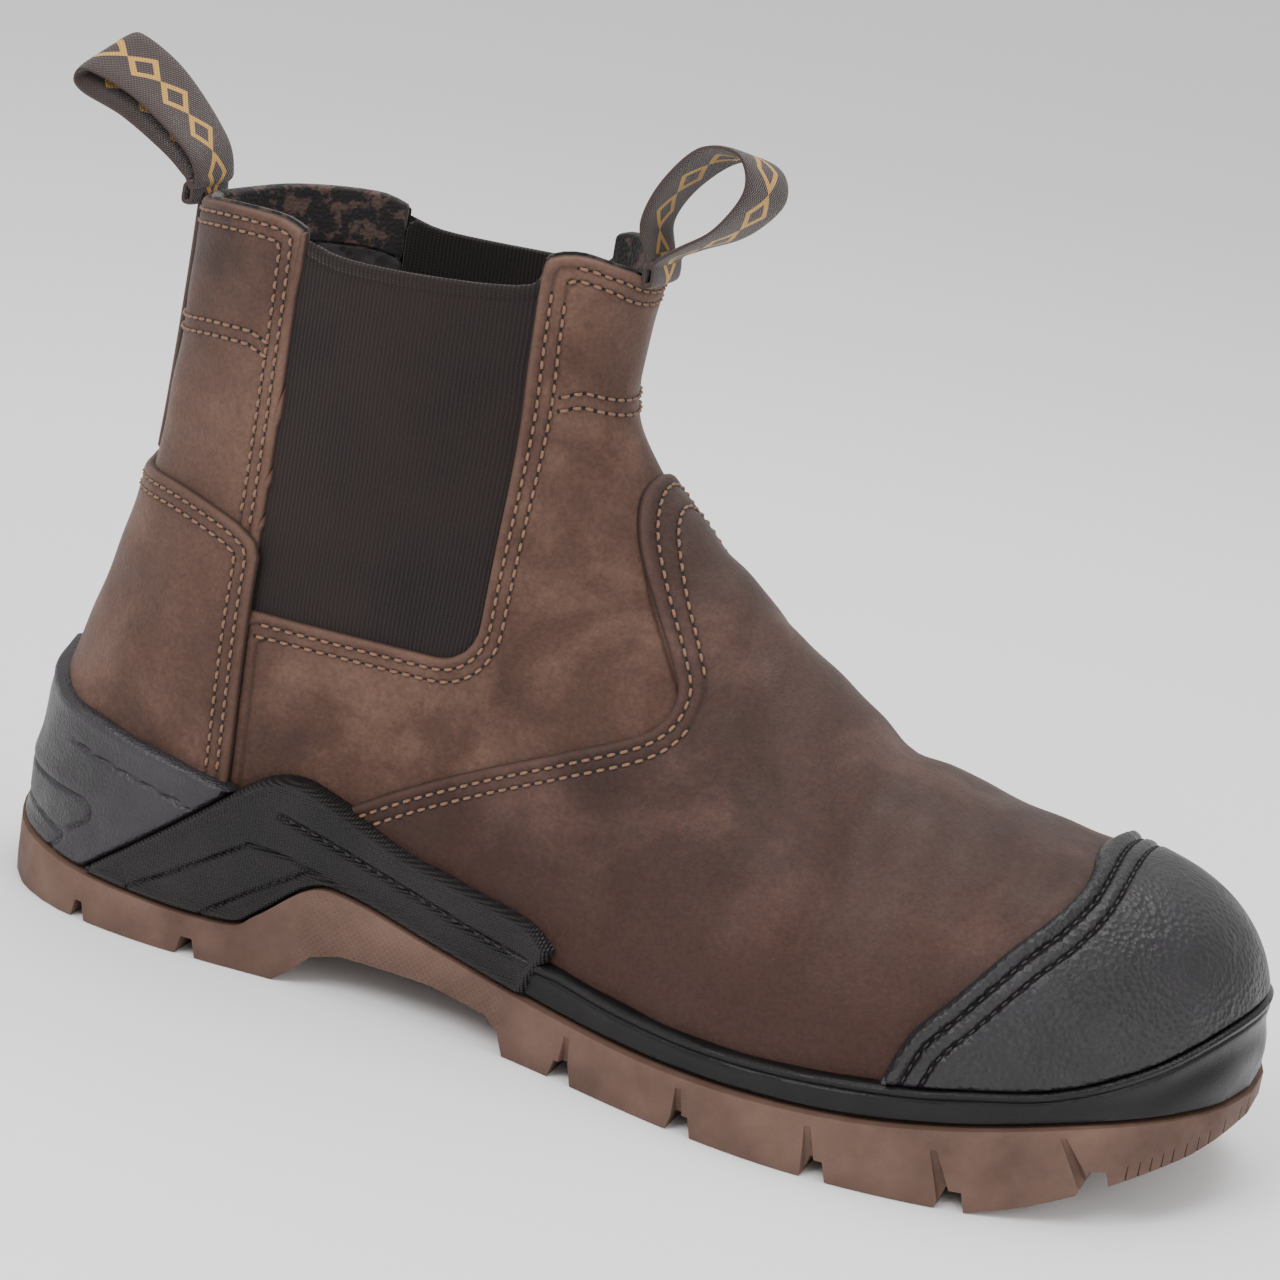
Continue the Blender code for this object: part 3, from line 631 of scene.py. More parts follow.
def woven_webbing(name):
    """Brown pull-loop webbing with a band of generic gold diamonds woven down its middle."""
    g = Graph(name, 0.78, Sheen_Weight=0.25, Sheen_Roughness=0.4)
    along, across = g.attribute("along"), g.attribute("across")
    weave = g.times(g.wave(along, 0.9), g.wave(across, 0.9))
    brown = g.ramp(g.span(weave, -1, 1), (0.0, srgb(30, 19, 17)), (1.0, srgb(62, 42, 37)))
    repeat = g.math("PINGPONG", along, 5.0)
    diamond = g.math("ADD", g.times(repeat, 0.9), g.math("ABSOLUTE", across))
    ring = g.math("ABSOLUTE", g.math("SUBTRACT", diamond, 3.6))
    gold_here = g.math("LESS_THAN", ring, 0.95)
    band = g.math("LESS_THAN", g.math("ABSOLUTE", across), 4.4)
    gold = g.ramp(g.span(weave, -1, 1), (0.0, srgb(150, 104, 30)), (1.0, srgb(218, 168, 66)))
    colour = g.mix(g.times(gold_here, band), brown, gold)
    return g.finish(colour, None, g.bump(weave, 0.55, 0.0004))


def thread(name, colour):
    g = Graph(name, 0.55, Specular_IOR_Level=0.4)
    shade = g.ramp(g.noise(1500, 3), (0.3, tuple(0.62 * c for c in colour)), (0.7, colour))
    return g.finish(shade, None, g.bump(g.noise(4000, 2), 0.4, 0.0002))


def plain(name, colour, roughness, metallic=0.0):
    g = Graph(name, roughness, Metallic=metallic)
    shade = g.ramp(g.noise(80, 4), (0.3, tuple(0.75 * c for c in colour)), (0.7, colour))
    return g.finish(shade, None, g.bump(g.noise(700, 3), 0.25, 0.0003))


NUBUCK = oiled_nubuck("nubuck", srgb(48, 31, 25), srgb(73, 50, 41), srgb(106, 79, 67))
# The vamp turns darker and redder from 68 mm down: its own tone and painted shade.
VAMP_HIDE = oiled_nubuck("nubuck_vamp", srgb(38, 24, 20), srgb(56, 37, 31), srgb(86, 63, 55),
                         red_and_shade=srgb(50, 27, 21), red_and_shade_below=0.068)
STRAP_HIDE = oiled_nubuck("nubuck_strap", srgb(38, 27, 25), srgb(62, 46, 42), srgb(88, 68, 62))
ELASTIC = ribbed_elastic("ribbed_elastic")
# Its holes are painted near-black: painted shade.
LINING = mesh_lining("mesh_lining", srgb(44, 38, 39), srgb(8, 7, 8), 330.0)
TRIM = collar_cloth("collar_trim")
BUMPER_GRAIN = pebbled("bumper_grain", srgb(20, 18, 20), srgb(34, 31, 34), 720, 0.75, 0.4, 0.42)
CUP_GRAIN = pebbled("cup_grain", srgb(26, 23, 26), srgb(42, 38, 42), 1300, 0.45, 0.45, 0.5)
SMOOTH_BLACK = pebbled("rim_smooth", srgb(7, 5, 6), srgb(15, 12, 13), 2600, 0.15, 0.34, 0.28)
WOVEN_BLACK = woven_polymer("stabiliser_weave", srgb(20, 17, 18), srgb(38, 33, 35))
RUBBER = moulded_rubber("tan_rubber")
WEBBING = woven_webbing("loop_webbing")
THREAD = thread("tan_thread", srgb(128, 96, 76))
DARK_THREAD = thread("black_thread", srgb(34, 30, 32))
# Near-black discs at the stitches' needle holes: painted shade.
HOLE_SHADE = plain("needle_hole_shade", srgb(16, 11, 11), 0.9)
STEEL = plain("coated_steel", srgb(150, 150, 156), 0.35, 1.0)
BOARD = plain("fibre_board", srgb(168, 152, 130), 0.9)
FOAM = plain_weave("footbed_fabric", srgb(26, 25, 28), srgb(62, 60, 64), 0.0016)


# ---- Outlines, in side view ----

FAR = 360.0             # outlines run out to these where something else ends the panel
BACK = -40.0
TOP = 230.0
UNDER = -60
VAMP_EDGE = smooth([
    (147.5, 131), (146.5, 126), (150, 117), (157, 106), (165, 94), (168, 87), (164, 79.5),
    (147, 71), (127, 61.5), (107, 50.5), (92, 40), (80, 26)], 8)
COUNTER_TOP = smooth([(0, 107), (26, 106.5), (42, 106.5), (58, 103.5), (65.5, 100)], 8)
COLLAR = smooth([
    (0, 168), (22, 169), (40, 172), (58, 173), (66, 171), (76, 169), (98, 169.5), (119, 171.5),
    (122, 176.5), (129, 178), (137, 175.5), (143, 172), (160, 168)], 6)
CUP_TOP = smooth([
    (-10, 61), (10, 56.5), (22, 50.5), (33, 49), (46, 46.5), (58, 44.5), (68, 42.5)], 6)
WING_TOP = smooth([
    (71, 42.5), (78, 47), (86, 48.5), (95, 46), (115, 38.5), (138, 34), (149, 31.5), (155, 27)], 6)
RIM_TOP = smooth([
    (157, 24), (175, 22), (200, 21.5), (235, 24.5), (252, 27), (269, 30), (285, 36), (298, 43.5),
    (310, 48)], 6)
WALL_FOOT = smooth([
    (-20, 17), (0, 16), (16, 13), (43, 10.5), (72, 10), (80, 14), (92, 23.5), (102, 24), (123, 19),
    (150, 14.5), (184, 12.5), (225, 14.5), (249, 17.5), (278, 22.5), (300, 24.5), (330, 26)], 6)
BUMPER_EDGE = smooth([
    (228, 10), (234, 24), (238, 35), (245, 44), (253, 54), (260, 61), (262.5, 65.5), (258.5, 69),
    (255, 73), (262, 90)], 8)
WINDOW_REAR = 66.0
WINDOW_FRONT = 121.0
WINDOW_FOOT = 84.0
WINDOW_CORNER = 9.0
GORE_DROP = 1.6         # of the gore's top under the collar line
COUNTER_FRONT = 67.0


def points(line, dx=0.0, dz=0.0):
    """A line as a list of pairs, shifted."""
    return [(float(x) + dx, float(z) + dz) for x, z in line]


def window(margin):
    """The gore's opening, grown by a margin."""
    turns = np.radians(np.linspace(-90, 0, 14))
    r = WINDOW_CORNER + margin
    corner = [(WINDOW_FRONT - WINDOW_CORNER + r * math.cos(t), WINDOW_FOOT + WINDOW_CORNER + r * math.sin(t))
              for t in turns]
    return [(WINDOW_REAR - margin, TOP), (WINDOW_REAR - margin, WINDOW_FOOT - margin), *corner,
            (WINDOW_FRONT + margin, TOP)]


def below(line, dz=0.0, limit=UNDER):
    """The side view between a line, moved up by dz, and a limit far from it."""
    line = points(line, 0, dz)
    return line + [(FAR, line[-1][1]), (FAR, limit), (BACK, limit), (BACK, line[0][1])]


def above(line, dz=0.0):
    return below(line, dz, TOP)


VAMP_SIDE = points(VAMP_EDGE) + [(80, UNDER), (FAR, UNDER), (FAR, 160), (147.5, 160)]
COUNTER_SIDE = (points(COUNTER_TOP)
                + [(COUNTER_FRONT, 97), (COUNTER_FRONT, UNDER), (BACK, UNDER), (BACK, 107)])


# ---- Leather upper ----

SEAMS = (2.6, 5.4)


def waves(x, y, z):
    """Soft unevenness of lasted leather."""
    return (np.sin(0.16 * x + 0.11 * z + 0.6) * np.sin(0.19 * z - 0.07 * x + 0.05 * y)
            + 0.5 * np.sin(0.33 * x - 0.21 * z + 0.1 * y))


def vamp_shape(height, x, y, z, d):
    """Soft creases where the foot bends and a dent over the toe joint."""
    crown = np.clip((z - 38) / 30, 0, 1)
    lean = x + 0.25 * (z - 70)
    height = height - 1.5 * bell(lean, 215, 5.5) * crown + 1.1 * bell(lean, 226, 7) * crown
    height = height + 0.7 * bell(lean, 204, 5) * crown
    for centre, depth in ((172, 0.5), (184, 0.7), (196, 0.5)):
        wrinkle = x + 0.5 * z + 3 * np.sin(0.08 * z)
        height = height - depth * bell(wrinkle, centre + 48, 2.6) * np.clip((z - 62) / 16, 0, 1)
    height = height + 0.3 * waves(x, y, z) * np.clip(d / 14, 0, 1)
    return np.maximum(height, 0.7)


def quarter_shape(height, x, y, z, d):
    return height + 0.25 * waves(x, y, z) * np.clip(d / 12, 0, 1)


def gore_top(x, z):
    return signed(x, z, below(COLLAR, -GORE_DROP))


def hide(name, outline, cad, cover=False, look=NUBUCK, shape=quarter_shape, **more):
    """A leather panel with two stitch rows, in the outer layer or the one under it."""
    top, foot = (COVER_TOP, COVER_FOOT) if cover else (BASE_TOP, BASE_FOOT)
    panel(name, outline, top, foot, look, "brown_nubuck", [cad], shape=shape, seams=SEAMS, **more)


def leather():
    hide("vamp_leather", VAMP_SIDE, "vamp", True, VAMP_HIDE, vamp_shape, roll=1.3)
    under_vamp = points(VAMP_EDGE, 10, -6)
    front = [(COUNTER_FRONT - 3, TOP), (COUNTER_FRONT - 3, UNDER), (under_vamp[-1][0], UNDER)]
    front += under_vamp[::-1] + [(FAR, under_vamp[0][1]), (FAR, TOP)]
    collar = below(COLLAR)
    d = np.minimum(depth(front), depth(collar))
    hide("front_quarter_leather", None, "front_quarter", field=np.minimum(d, -depth(window(0.0))))
    rear = [(BACK, TOP), (BACK, 90), (WINDOW_REAR - 0.6, 90), (WINDOW_REAR - 0.6, TOP)]
    for side in SIDES:
        hide("rear_quarter_" + side + "_leather", rear, "rear_quarter_" + side, side=side, extra=collar)
        panel("gore_" + side + "_elastic", window(3.0), -1.55, -2.15, ELASTIC, "elastic",
              ["gore_" + side], side=side, extra=below(COLLAR, -GORE_DROP), roll=0.6, shape=gore_shape,
              guides=[gore_top], cuts=[(0, (1.2, 2.4, 2.9, 3.2, 3.5, 4.0))])
    hide("heel_counter_leather", COUNTER_SIDE, "heel_counter_panel", True)
    strip = np.minimum(STRAP_WIDTH / 2 - np.abs(POINTS[:, 1]), SIDE_Z - COUNTER_TOP[0][1] - GAP)
    strip = np.minimum(strip, 50 - SIDE_X)
    panel("back_strip_leather", None, 1.7, 0.1, STRAP_HIDE, "dark_leather", ["back_strap"],
          field=strip, extra=collar, roll=0.9)


# ---- Moulded walls ----

def nearest(lines):
    """Distance field to the nearest of several side-view lines."""
    return lambda x, z: np.min([distance_to_line(x, z, line) for line in lines], axis=0)


GROOVE_LEVELS = (0.25, 0.5, 0.8, 1.3)
CHANNELS = (4.0, 7.7)   # of the bumper, from its rear edge
SLOT = smooth([(83, 39.5), (98, 35.5), (114, 31), (134, 26), (149, 23.5)], 5)   # in the stabilisers


def cup_shape(height, x, y, z, d, hooks):
    """A raised lip along the cup's top, and its moulded hook lines."""
    return height + 0.5 * bell(d, 2.2, 1.2) - 0.75 * bell(hooks, 0, 0.55)


def wing_shape(height, x, y, z, d, slot, chevrons):
    """Raised edge, a long stitched slot and two pairs of chevron grooves."""
    return height + 0.55 * bell(d, 1.8, 1.0) - 1.3 * bell(slot, 0, 0.75) - 0.8 * bell(chevrons, 0, 0.5)


def rim_shape(height, x, y, z, d, lip):
    """A concave wall under a thin proud lip."""
    return height - 1.0 * bell(lip, 6.5, 3.4) + 0.35 * bell(lip, 1.3, 0.9) - 0.5 * bell(lip, 2.8, 0.4)


def bumper_shape(height, x, y, z, d, edge):
    """A bead, two stitched channels with a ridge between, then the domed pebbled face."""
    first, second = CHANNELS
    height = height + 0.6 * bell(edge, 1.7, 1.2) - 1.2 * bell(edge, first, 0.55)
    return height + 0.15 * bell(edge, 5.8, 0.9) - 1.1 * bell(edge, second, 0.5)


def wall(name, outline, proud, look, cad, extra, shape, **more):
    """A moulded piece, so much proud of WALL_TOP."""
    panel(name, outline, WALL_TOP + proud, SHELL_FOOT, look, "black_polyurethane", cad, extra=extra,
          shape=shape, **more)


def walls():
    over = above(WALL_FOOT, GAP)
    joint = [(70.5, 42), (59, 32), (33, 11), (22, 0)]
    cup = points(CUP_TOP) + joint + [(22, UNDER), (BACK, UNDER), (BACK, 61)]
    hooks = nearest([smooth([(-6, 31), (18, 29), (31, 28.5), (34, 27), (34, 24), (29, 20)], 5),
                     smooth([(-6, 21), (14, 20.5), (24, 18.5), (27, 17.5), (25, 14), (21, 11.5)], 5),
                     [(27, 41), (44, 38), (60, 35)]])
    wall("heel_cup_shell", cup, -0.5, CUP_GRAIN, ["heel_cup"], over, cup_shape, skirt=True,
         guides=[hooks], finer=1, cuts=[(0, GROOVE_LEVELS)])
    front = [(151, 20), (148, 10), (147, UNDER), (21.4, UNDER)]
    wing = points(WING_TOP) + front + points(joint, -0.6)[:0:-1]
    slot = nearest([SLOT])
    chevrons = nearest([[(47, 12), (61, 21), (76, 31), (86, 30), (101, 26)],
                        [(66, 11), (77, 19), (91, 28), (99, 27)]])
    for side in SIDES:
        wall("stabiliser_" + side + "_shell", wing, 0.2, WOVEN_BLACK, ["stabiliser_" + side], over,
             wing_shape, skirt=True, side=side, finer=1, guides=[slot, chevrons],
             cuts=[(0, GROOVE_LEVELS), (1, GROOVE_LEVELS)])
    rim = [(143, 25)] + points(RIM_TOP) + [(FAR, 48), (FAR, UNDER), (143, UNDER)]
    lip_x, lip_z = zip(*points(RIM_TOP))
    wall("toe_rim_shell", rim, -0.2, SMOOTH_BLACK, ["toe_rim"], over, rim_shape, skirt=True,
         guides=[lambda x, z: np.interp(x, lip_x, lip_z) - z],
         cuts=[(0, (1.3, 2.3, 2.6, 2.8, 3.0, 3.4))])
    bumper = points(BUMPER_EDGE) + [(FAR, 90), (FAR, 10)]
    wall("toe_bumper_shell", bumper, -0.6, BUMPER_GRAIN, ["toe_bumper", "toe_bumper_piping"],
         above(RIM_TOP, -1.0), bumper_shape, roll=1.6, guides=[nearest([BUMPER_EDGE])],
         cuts=[(0, around(*CHANNELS))])


TRIM_DEPTH = 13.0


def linings():
    """Collar trim either side of the gores, mesh below it, and the gores' own smooth inner face."""
    beside_gore = -depth(window(0.5))
    band = np.minimum(depth(above(COLLAR, -TRIM_DEPTH)), beside_gore)
    panel("collar_trim_band", None, LINING_FOOT, LINING_FACE, TRIM, "mesh_lining",
          ["collar_facing_rear", "collar_facing_front"], extra=below(COLLAR, 0.6), roll=0.8, field=band)
    mesh = np.minimum(depth(below(COLLAR, -TRIM_DEPTH)), beside_gore)
    panel("shaft_lining", None, LINING_FOOT + 0.3, LINING_FACE, LINING, "mesh_lining",
          ["quarter_lining", "vamp_lining"], roll=0.6, field=mesh)
    panel("gore_lining", window(0.2), LINING_FOOT + 0.6, -2.2, ELASTIC, "elastic", [],
          extra=below(COLLAR, -GORE_DROP), roll=0.6)


def gore_shape(height, x, y, z, d, top):
    """The folded selvage along the gore's top edge."""
    return height + 0.35 * bell(top, 1.2, 1.0) - 0.35 * bell(top, 3.2, 0.45)


# ---- Stitching ----

STITCH_PITCH = 3.0
STITCH_SIDES = 6
# Rings of a stitch: share of its length, height, radius
STITCH = ((0.0, -0.3, 0.16), (0.16, 0.16, 0.34), (0.5, 0.36, 0.4), (0.84, 0.16, 0.34), (1.0, -0.3, 0.16))
STITCH_SPAN = (0.14, 0.86)      # shares of the pitch at which a stitch starts and ends
TURNS = np.linspace(0, 2 * math.pi, STITCH_SIDES, endpoint=False)
SHAFT_ROWS = (27, 30)           # under the collar line


def one_stitch(a, b):
    """Points of a stitch between two rows of position and normal, and of two near-black discs at its
    ends, painted shade in its needle holes.
    """
    ahead = b[:3] - a[:3]
    up = (a + b)[3:6] / np.linalg.norm((a + b)[3:6])
    across = np.cross(ahead, up)
    across /= np.linalg.norm(across) + 1e-9
    along = ahead / (np.linalg.norm(ahead) + 1e-9)
    thread_points = [a[:3] + ahead * share + up * (lift + 0.1)
                     + radius * (math.cos(t) * across + math.sin(t) * up)
                     for share, lift, radius in STITCH for t in TURNS]
    # Dark discs where the thread enters: painted shade in the needle holes.
    hole_shade_points = [end[:3] + up * 0.07 + along * sign * 0.2
                   + 0.5 * (math.cos(t) * across + 0.8 * math.sin(t) * along)
                   for end, sign in ((a, -1), (b, 1)) for t in TURNS]
    return thread_points, hole_shade_points


def stitch_faces(start):
    """Faces of one stitch whose points begin at `start`: its sides, then its two ends."""
    faces = []
    for ring in range(len(STITCH) - 1):
        for m in range(STITCH_SIDES):
            p = start + ring * STITCH_SIDES + m
            q = start + ring * STITCH_SIDES + (m + 1) % STITCH_SIDES
            faces.append((p, q, q + STITCH_SIDES, p + STITCH_SIDES))
    last = start + (len(STITCH) - 1) * STITCH_SIDES
    return faces + [tuple(range(first, first + STITCH_SIDES)) for first in (start, last)]


def stitch_rows(name, where, field, levels, keep, look=THREAD):
    """Rows of stitches on a panel, where the field of its values has each of the levels."""
    outer, values, triangles = PANELS[where]
    both = np.column_stack([outer, values[:, 3:6], values[:, :3]])
    threads, hole_shade = [], []
    for level in levels:
        for line in contour(both, triangles, field(values), level):
            place = np.concatenate([[0], np.cumsum(np.linalg.norm(np.diff(line[:, :3], axis=0), axis=1))])
            count = int(place[-1] / STITCH_PITCH)
            if count < 3:
                continue
            step = place[-1] / count
            for k in range(count):
                at = [k * step + share * step for share in STITCH_SPAN]
                a, b = (np.array([np.interp(t, place, line[:, c]) for c in range(9)]) for t in at)
                if keep(*((a + b)[6:9] / 2)):
                    thread_points, hole_shade_points = one_stitch(a, b)
                    threads += thread_points
                    hole_shade += hole_shade_points
    size = len(STITCH) * STITCH_SIDES
    thread_faces = [face for start in range(0, len(threads), size) for face in stitch_faces(start)]
    hole_shade_faces = [tuple(range(k, k + STITCH_SIDES)) for k in range(0, len(hole_shade), STITCH_SIDES)]
    # The second part holds the dark discs of painted shade at the needle holes.
    for part, made, faces, finish in ((name, threads, thread_faces, look),
                                      (name + "_hole_shade", hole_shade, hole_shade_faces, HOLE_SHADE)):
        obj = build_mesh(part, made, faces, finish, weld=False)
        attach(obj, "boot")


def stitching():
    edge = lambda v: v[:, 6]
    collar = lambda v: signed(v[:, 0], v[:, 2], below(COLLAR))
    gore = lambda v: -signed(v[:, 0], v[:, 2], window(0.0))
    channel = lambda v: v[:, 7]
    stitch_rows("vamp_stitching", "vamp_leather", edge, SEAMS, lambda x, y, z: 34 < z < 131 and x < 172)
    for name, field, levels, keep in (
            ("gore_front_stitching", gore, SEAMS, lambda x, y, z: z < 168 and x > 70),
            ("front_top_stitching", collar, SEAMS, lambda x, y, z: x > 127),
            ("front_panel_stitching", collar, SHAFT_ROWS, lambda x, y, z: x > 128 and abs(y) < 60)):
        stitch_rows(name, "front_quarter_leather", field, levels, keep)
    for side in SIDES:
        where = "rear_quarter_" + side + "_leather"
        stitch_rows("rear_edge_stitching_" + side, where, edge, SEAMS,
                    lambda x, y, z: z > 104 and abs(y) > 4 and x > 30)
        stitch_rows("rear_panel_stitching_" + side, where, collar, SHAFT_ROWS,
                    lambda x, y, z: x < 60 and abs(y) > 5)
    stitch_rows("counter_stitching", "heel_counter_leather", edge, SEAMS, lambda x, y, z: z > 46 and x > 4)
    stitch_rows("bumper_stitching", "toe_bumper_shell", channel, CHANNELS, lambda x, y, z: z < 90,
                DARK_THREAD)
    for side in SIDES:
        stitch_rows("stabiliser_stitching_" + side, "stabiliser_" + side + "_shell", slot_middle, [0.0],
                    lambda x, y, z: 84 < x < 148, DARK_THREAD)


def slot_middle(values):
    """Height over the stabiliser's slot line."""
    return values[:, 2] - np.interp(values[:, 0], SLOT[:, 0], SLOT[:, 1])


# ---- Pull loops ----

def pull_loop(name, pivot, line, lean, twist, body, cad=None):
    """Webbing round a closed side-view line, twisted about `lean` the further it is from its pivot."""
    centre = smooth(line, 10)[:-1]
    reach = np.linalg.norm(centre, axis=1)
    angle = math.radians(twist) * np.clip(reach / reach.max(), 0, 1)
    wide = np.cos(angle)[:, None] * (0, 1, 0) + np.sin(angle)[:, None] * (lean[0], 0, lean[1])
    middle = np.column_stack([centre[:, 0] + pivot[0], np.zeros(len(centre)), centre[:, 1] + pivot[1]])
    ahead = unit(np.roll(middle, -1, axis=0) - np.roll(middle, 1, axis=0))
    out = unit(np.cross(ahead, wide))
    step = np.linalg.norm(np.roll(middle, -1, axis=0) - middle, axis=1)
    along = np.concatenate([[0], np.cumsum(step)])[:-1]
    half = LOOP_WIDTH / 2
    shares = np.linspace(-1, 1, 15)
    section = [(s * half, 0.5 * LOOP_THICKNESS * (1 - 0.55 * abs(s) ** 8)) for s in shares]
    section += [(y, -h) for y, h in section[::-1]]
    count = len(section)
    made, across = [], []
    for m, w, n in zip(middle, wide, out):
        for y, h in section:
            made.append(m + w * y + n * h)
            across.append(y)
    rings = len(middle)
    index = np.arange(rings * count).reshape(rings, count)
    after, beside = np.roll(index, -1, axis=0), np.roll(index, -1, axis=1)
    faces = np.stack([index, beside, np.roll(after, -1, axis=1), after], -1).reshape(-1, 4).tolist()
    obj = build_mesh(name, made, faces, WEBBING, {"along": np.repeat(along, count), "across": across})
    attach(obj, body)
    if cad:
        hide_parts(cad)


REAR_LOOP = [(-1.2, 1), (-7, 6.5), (-18, 14), (-28.5, 18.5), (-31, 21.5), (-28, 24), (-15.5, 19),
             (-2, 8), (1.4, 1), (0.2, -1.4), (-1.2, 1)]
LOOP_TAIL = [(-0.9, 0), (-0.9, -3.5), (0.9, -3.5), (0.9, 0), (0, 0.9), (-0.9, 0)]
FRONT_LOOP = [(-1.4, 1), (-3, 8), (1, 17), (9, 25), (18, 25), (20.5, 18), (14.5, 9), (6, 3.5),
              (1.6, 0.6), (0.2, -1.4), (-1.4, 1)]


# ---- Sole ----

GROUND = [(-20, 12), (-2, 12), (3, 7), (8, 1.5), (14, 0), (86, 0), (90, 3), (95, 8), (102, 10),
          (125, 10), (140, 8), (144, 5), (146, 0), (258, 0), (270, 3.5), (284, 9), (298, 15),
          (308, 21), (330, 24)]
LEDGE = 0.7
NOTCHES = [(34, 3), (64, 4), (161.5, 5), (193, 5), (225, 4.5), (254.5, 5), (282, 4.5)]


def plan_outline(offset, step=4):
    face = GRID[:HEEL_ROW + 1:step] + NORMAL[:HEEL_ROW + 1:step] * offset
    lateral = face[:, 0, :2][::-1]
    medial = face[:-1, -1, :2]
    return [tuple(p) for p in np.vstack([lateral, medial])]


def prism(name, outline, axis, low, high):
    """A closed prism of a plan outline (axis z) or a side-view outline (axis y)."""
    bm = bmesh.new()
    flat = [(p[0], p[1], low) if axis == "z" else (p[0], low, p[1]) for p in outline]
    face = bm.faces.new([bm.verts.new(p) for p in to_frame(flat)])
    grown = bmesh.ops.extrude_face_region(bm, geom=[face])
    moved = [g for g in grown["geom"] if isinstance(g, bmesh.types.BMVert)]
    rise = (high - low) * MM
    bmesh.ops.translate(bm, vec=(0, 0, rise) if axis == "z" else (0, rise, 0), verts=moved)
    bmesh.ops.recalc_face_normals(bm, faces=bm.faces)
    return from_bmesh(name, bm)


def carve(obj, cutters, operation):
    """Booleans applied for good, cutters removed."""
    for cutter in cutters:
        modifier = obj.modifiers.new("cut", "BOOLEAN")
        modifier.object = cutter
        modifier.operation = operation
        modifier.solver = "EXACT"
    bake(obj)
    for cutter in cutters:
        bpy.data.objects.remove(cutter, do_unlink=True)


def bake(obj):
    """Applies the object's modifiers."""
    graph = bpy.context.evaluated_depsgraph_get()
    made = bpy.data.meshes.new_from_object(obj.evaluated_get(graph))
    obj.modifiers.clear()
    obj.data = made


def ground_height(x):
    return float(np.interp(x, *zip(*GROUND)))


def wedge(bm, foot, head, wide, narrow, inward, depth, taper):
    """A groove cutter in a wall, `wide` and `depth` deep at its foot, `narrow` and `taper` at its head."""
    corners = []
    for place, width, deep in ((foot, wide, depth), (head, narrow, taper)):
        place = np.array(place, float)
        along = np.cross(inward, (0, 0, 1.0))
        for side, back in ((-1, -4), (1, -4), (1, deep), (-1, deep)):
            share = 1.0 if back < 0 else 0.55
            corners.append(place + along * side * width / 2 * share + np.array(inward) * back)
    made = [bm.verts.new(p) for p in to_frame(corners)]
    for ring in ((0, 1, 2, 3), (4, 5, 6, 7), (0, 1, 5, 4), (1, 2, 6, 5), (2, 3, 7, 6), (3, 0, 4, 7)):
        bm.faces.new([made[k] for k in ring])


def side_grooves():
    """One cutter of slanted grooves that rise from the tread notches, and the toe's serrations."""
    outline = np.array(plan_outline(WALL_TOP + LEDGE, 1))
    ahead = np.roll(outline, -3, axis=0) - np.roll(outline, 3, axis=0)
    inward = unit(np.column_stack([-ahead[:, 1], ahead[:, 0]]))
    half = len(outline) // 2
    bm = bmesh.new()
    foot_x, foot_z = zip(*points(WALL_FOOT))
    for side in (slice(0, half), slice(half, None)):
        line, facing = outline[side], inward[side]
        rows = [(x, 5.6, 3.6, min(0.8 * (np.interp(x, foot_x, foot_z) - ground_height(x)), 13),
                 min(0.0, (180 - x) / 13)) for x, _ in NOTCHES[2:]]
        rows += [(x, 2.2, 1.6, 4.0, -1.0) for x in (34, 64)]
        rows += [(x, 1.0, 0.9, 3.6, 0.0) for x in np.arange(287.5, 307.5, 1.9)]
        for x, width, depth, rise, slant in rows:
            k = int(np.abs(line[:, 0] - x).argmin())
            top = int(np.abs(line[:, 0] - x - slant).argmin())
            floor = ground_height(x)
            wedge(bm, (*line[k], floor - 2.5), (*line[top], floor + rise), width, width * 0.45,
                  (*facing[k], 0), depth, 0.25)
    bmesh.ops.recalc_face_normals(bm, faces=bm.faces)
    return from_bmesh("grooves", bm)


def outsole():
    sole = prism("outsole_rubber", plan_outline(WALL_TOP + LEDGE), "z", -20, 80)
    side = GROUND + points(WALL_FOOT)[::-1]
    carve(sole, [prism("side", side, "y", -90, 90)], "INTERSECT")
    cutters = []
    for x, width in NOTCHES:
        floor = ground_height(x)
        half = width / 2
        notch = [(x - half - 1.6, floor - 4), (x + half + 1.6, floor - 4), (x + half + 0.6, floor),
                 (x + half - 0.6, floor + 4.4), (x - half + 0.6, floor + 4.4), (x - half - 0.6, floor)]
        cutters.append(prism("notch", notch, "y", -90, 90))
    carve(sole, cutters, "DIFFERENCE")
    carve(sole, [side_grooves()], "DIFFERENCE")
    bevel = sole.modifiers.new("round", "BEVEL")
    bevel.width = 0.0007
    bevel.segments = 2
    bevel.limit_method = "ANGLE"
    bevel.angle_limit = math.radians(35)
    bevel.use_clamp_overlap = True
    bake(sole)
    sole.data.materials.clear()
    sole.data.materials.append(RUBBER)
    sole.data.shade_smooth()
    sole.data.set_sharp_from_angle(angle=math.radians(35))
    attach(sole, "boot")
    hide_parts("outsole")


# ---- Stage, camera, light ----

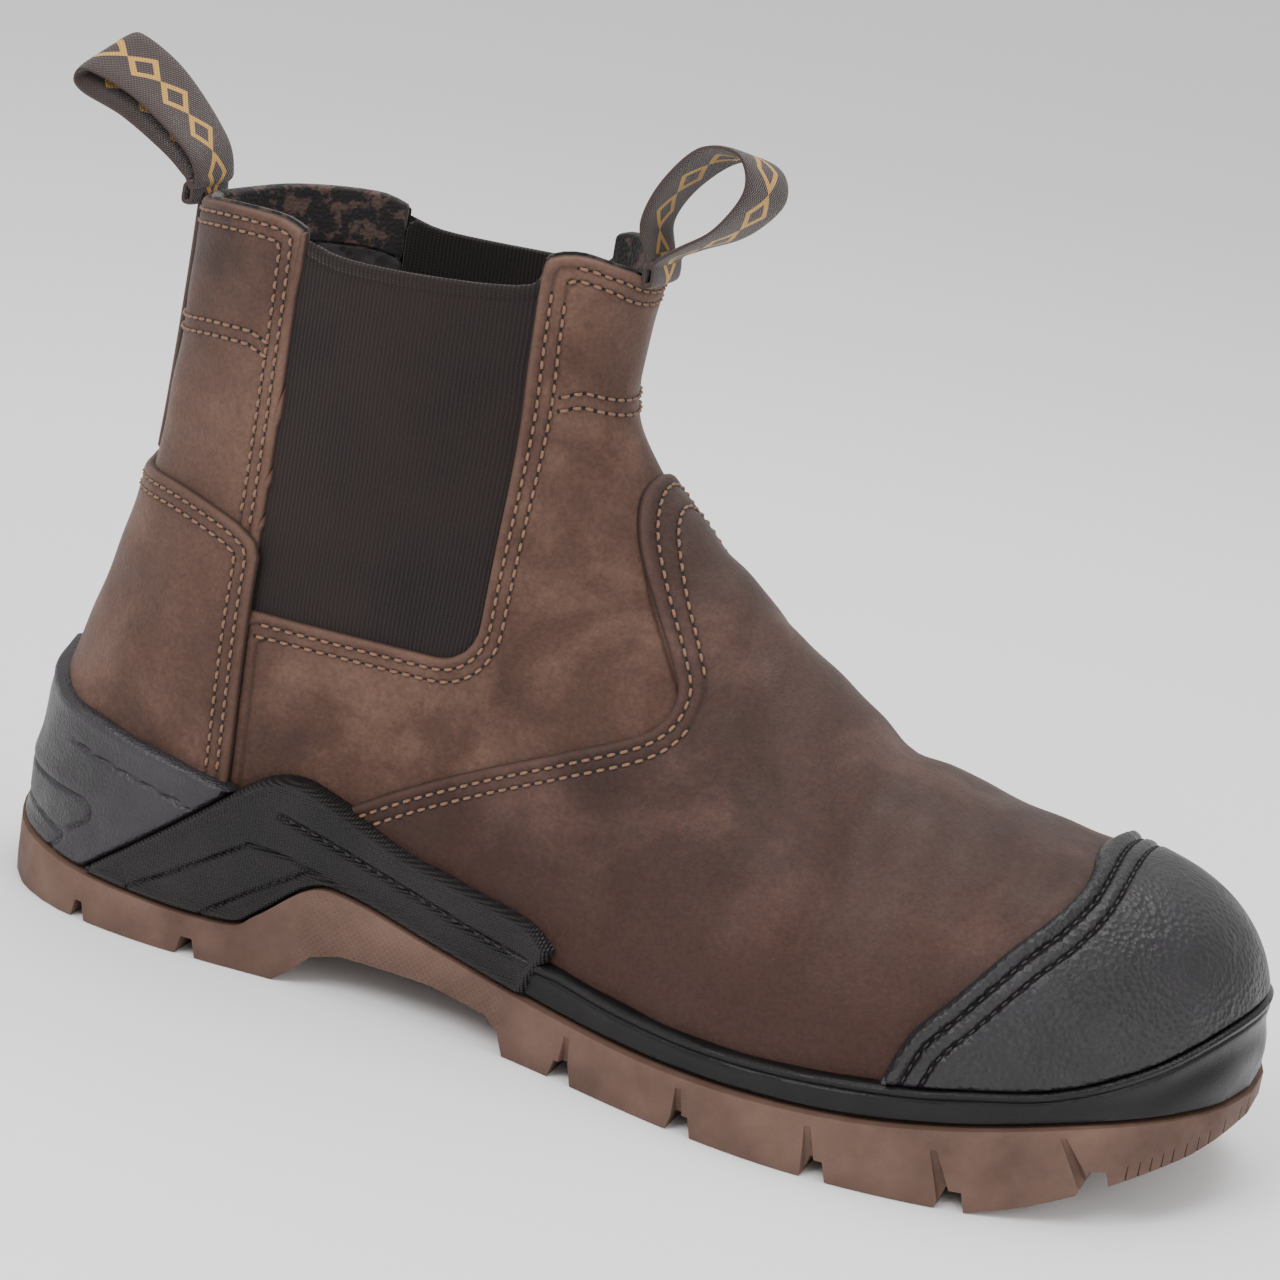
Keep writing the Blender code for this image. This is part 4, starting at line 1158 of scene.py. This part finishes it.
def camera():
    """The view of the outer side from slightly above and in front, with the frame tipped."""
    azimuth, elevation, roll = (math.radians(a) for a in (18.1, 16.2, 9.5))
    back = Vector((math.sin(azimuth) * math.cos(elevation), -math.cos(azimuth) * math.cos(elevation),
                   math.sin(elevation)))
    level = Vector((math.cos(azimuth), math.sin(azimuth), 0))
    upright = back.cross(level)
    right = math.cos(roll) * level + math.sin(roll) * upright
    up = math.cos(roll) * upright - math.sin(roll) * level
    target = Vector((-0.001, 0, 0.0907))
    data = bpy.data.cameras.new("camera")
    data.lens = 98.6
    data.sensor_width = 36.0
    obj = link(bpy.data.objects.new("camera", data))
    turn = Matrix((right, up, back)).transposed().to_4x4()
    obj.matrix_world = Matrix.Translation(target + back * 0.8) @ turn
    bpy.context.scene.camera = obj


def lamp(name, place, aim, size, power):
    data = bpy.data.lights.new(name, "AREA")
    data.size = size
    data.energy = power
    obj = link(bpy.data.objects.new(name, data))
    obj.location = place
    obj.rotation_euler = (Vector(aim) - Vector(place)).to_track_quat("-Z", "Y").to_euler()


def stage():
    bm = bmesh.new()
    bmesh.ops.create_grid(bm, x_segments=1, y_segments=1, size=4)
    floor = from_bmesh("floor", bm)
    floor.location.z = -0.0002
    floor.data.materials.append(Graph("floor", 0.9, Base_Color=(0.94, 0.94, 0.94, 1)).material)
    world = bpy.data.worlds.new("studio")
    world.use_nodes = True
    sky = world.node_tree.nodes["Background"]
    sky.inputs["Color"].default_value = (1, 1, 1, 1)
    sky.inputs["Strength"].default_value = 0.9
    bpy.context.scene.world = world
    lamp("key", (-0.35, -0.75, 0.9), (0, 0, 0.08), 0.6, 9.0)
    lamp("fill", (0.9, -0.7, 0.45), (0, 0, 0.07), 0.8, 4.0)
    lamp("top", (0.1, 0.2, 1.1), (0.05, 0, 0.05), 0.7, 7.0)


def inner_pieces():
    """They keep their CAD shape and get a finished material."""
    looks = {"midsole": SMOOTH_BLACK, "shank": STEEL, "insole_board": BOARD, "footbed": FOAM,
             "steel_toe_cap": STEEL, "toe_cap_edge_strip": SMOOTH_BLACK, "counter_stiffener": BOARD}
    for name, look in looks.items():
        nodes[name].data.materials.clear()
        nodes[name].data.materials.append(look)


camera()
stage()
inner_pieces()
leather()
walls()
linings()
stitching()
pull_loop("pull_loop_rear_webbing", (26.5, 172.63), REAR_LOOP, (0.53, 0.85), 34, "rear_loop",
          "pull_loop_rear")
pull_loop("pull_loop_front_webbing", (140.0, 177.95), FRONT_LOOP, (0.76, -0.65), 20, "front_loop",
          "pull_loop_front")
pull_loop("loop_tail_rear", (26.0, 171.5), LOOP_TAIL, (1, 0), 0, "boot")
pull_loop("loop_tail_front", (139.8, 176.4), LOOP_TAIL, (1, 0), 0, "boot")
outsole()
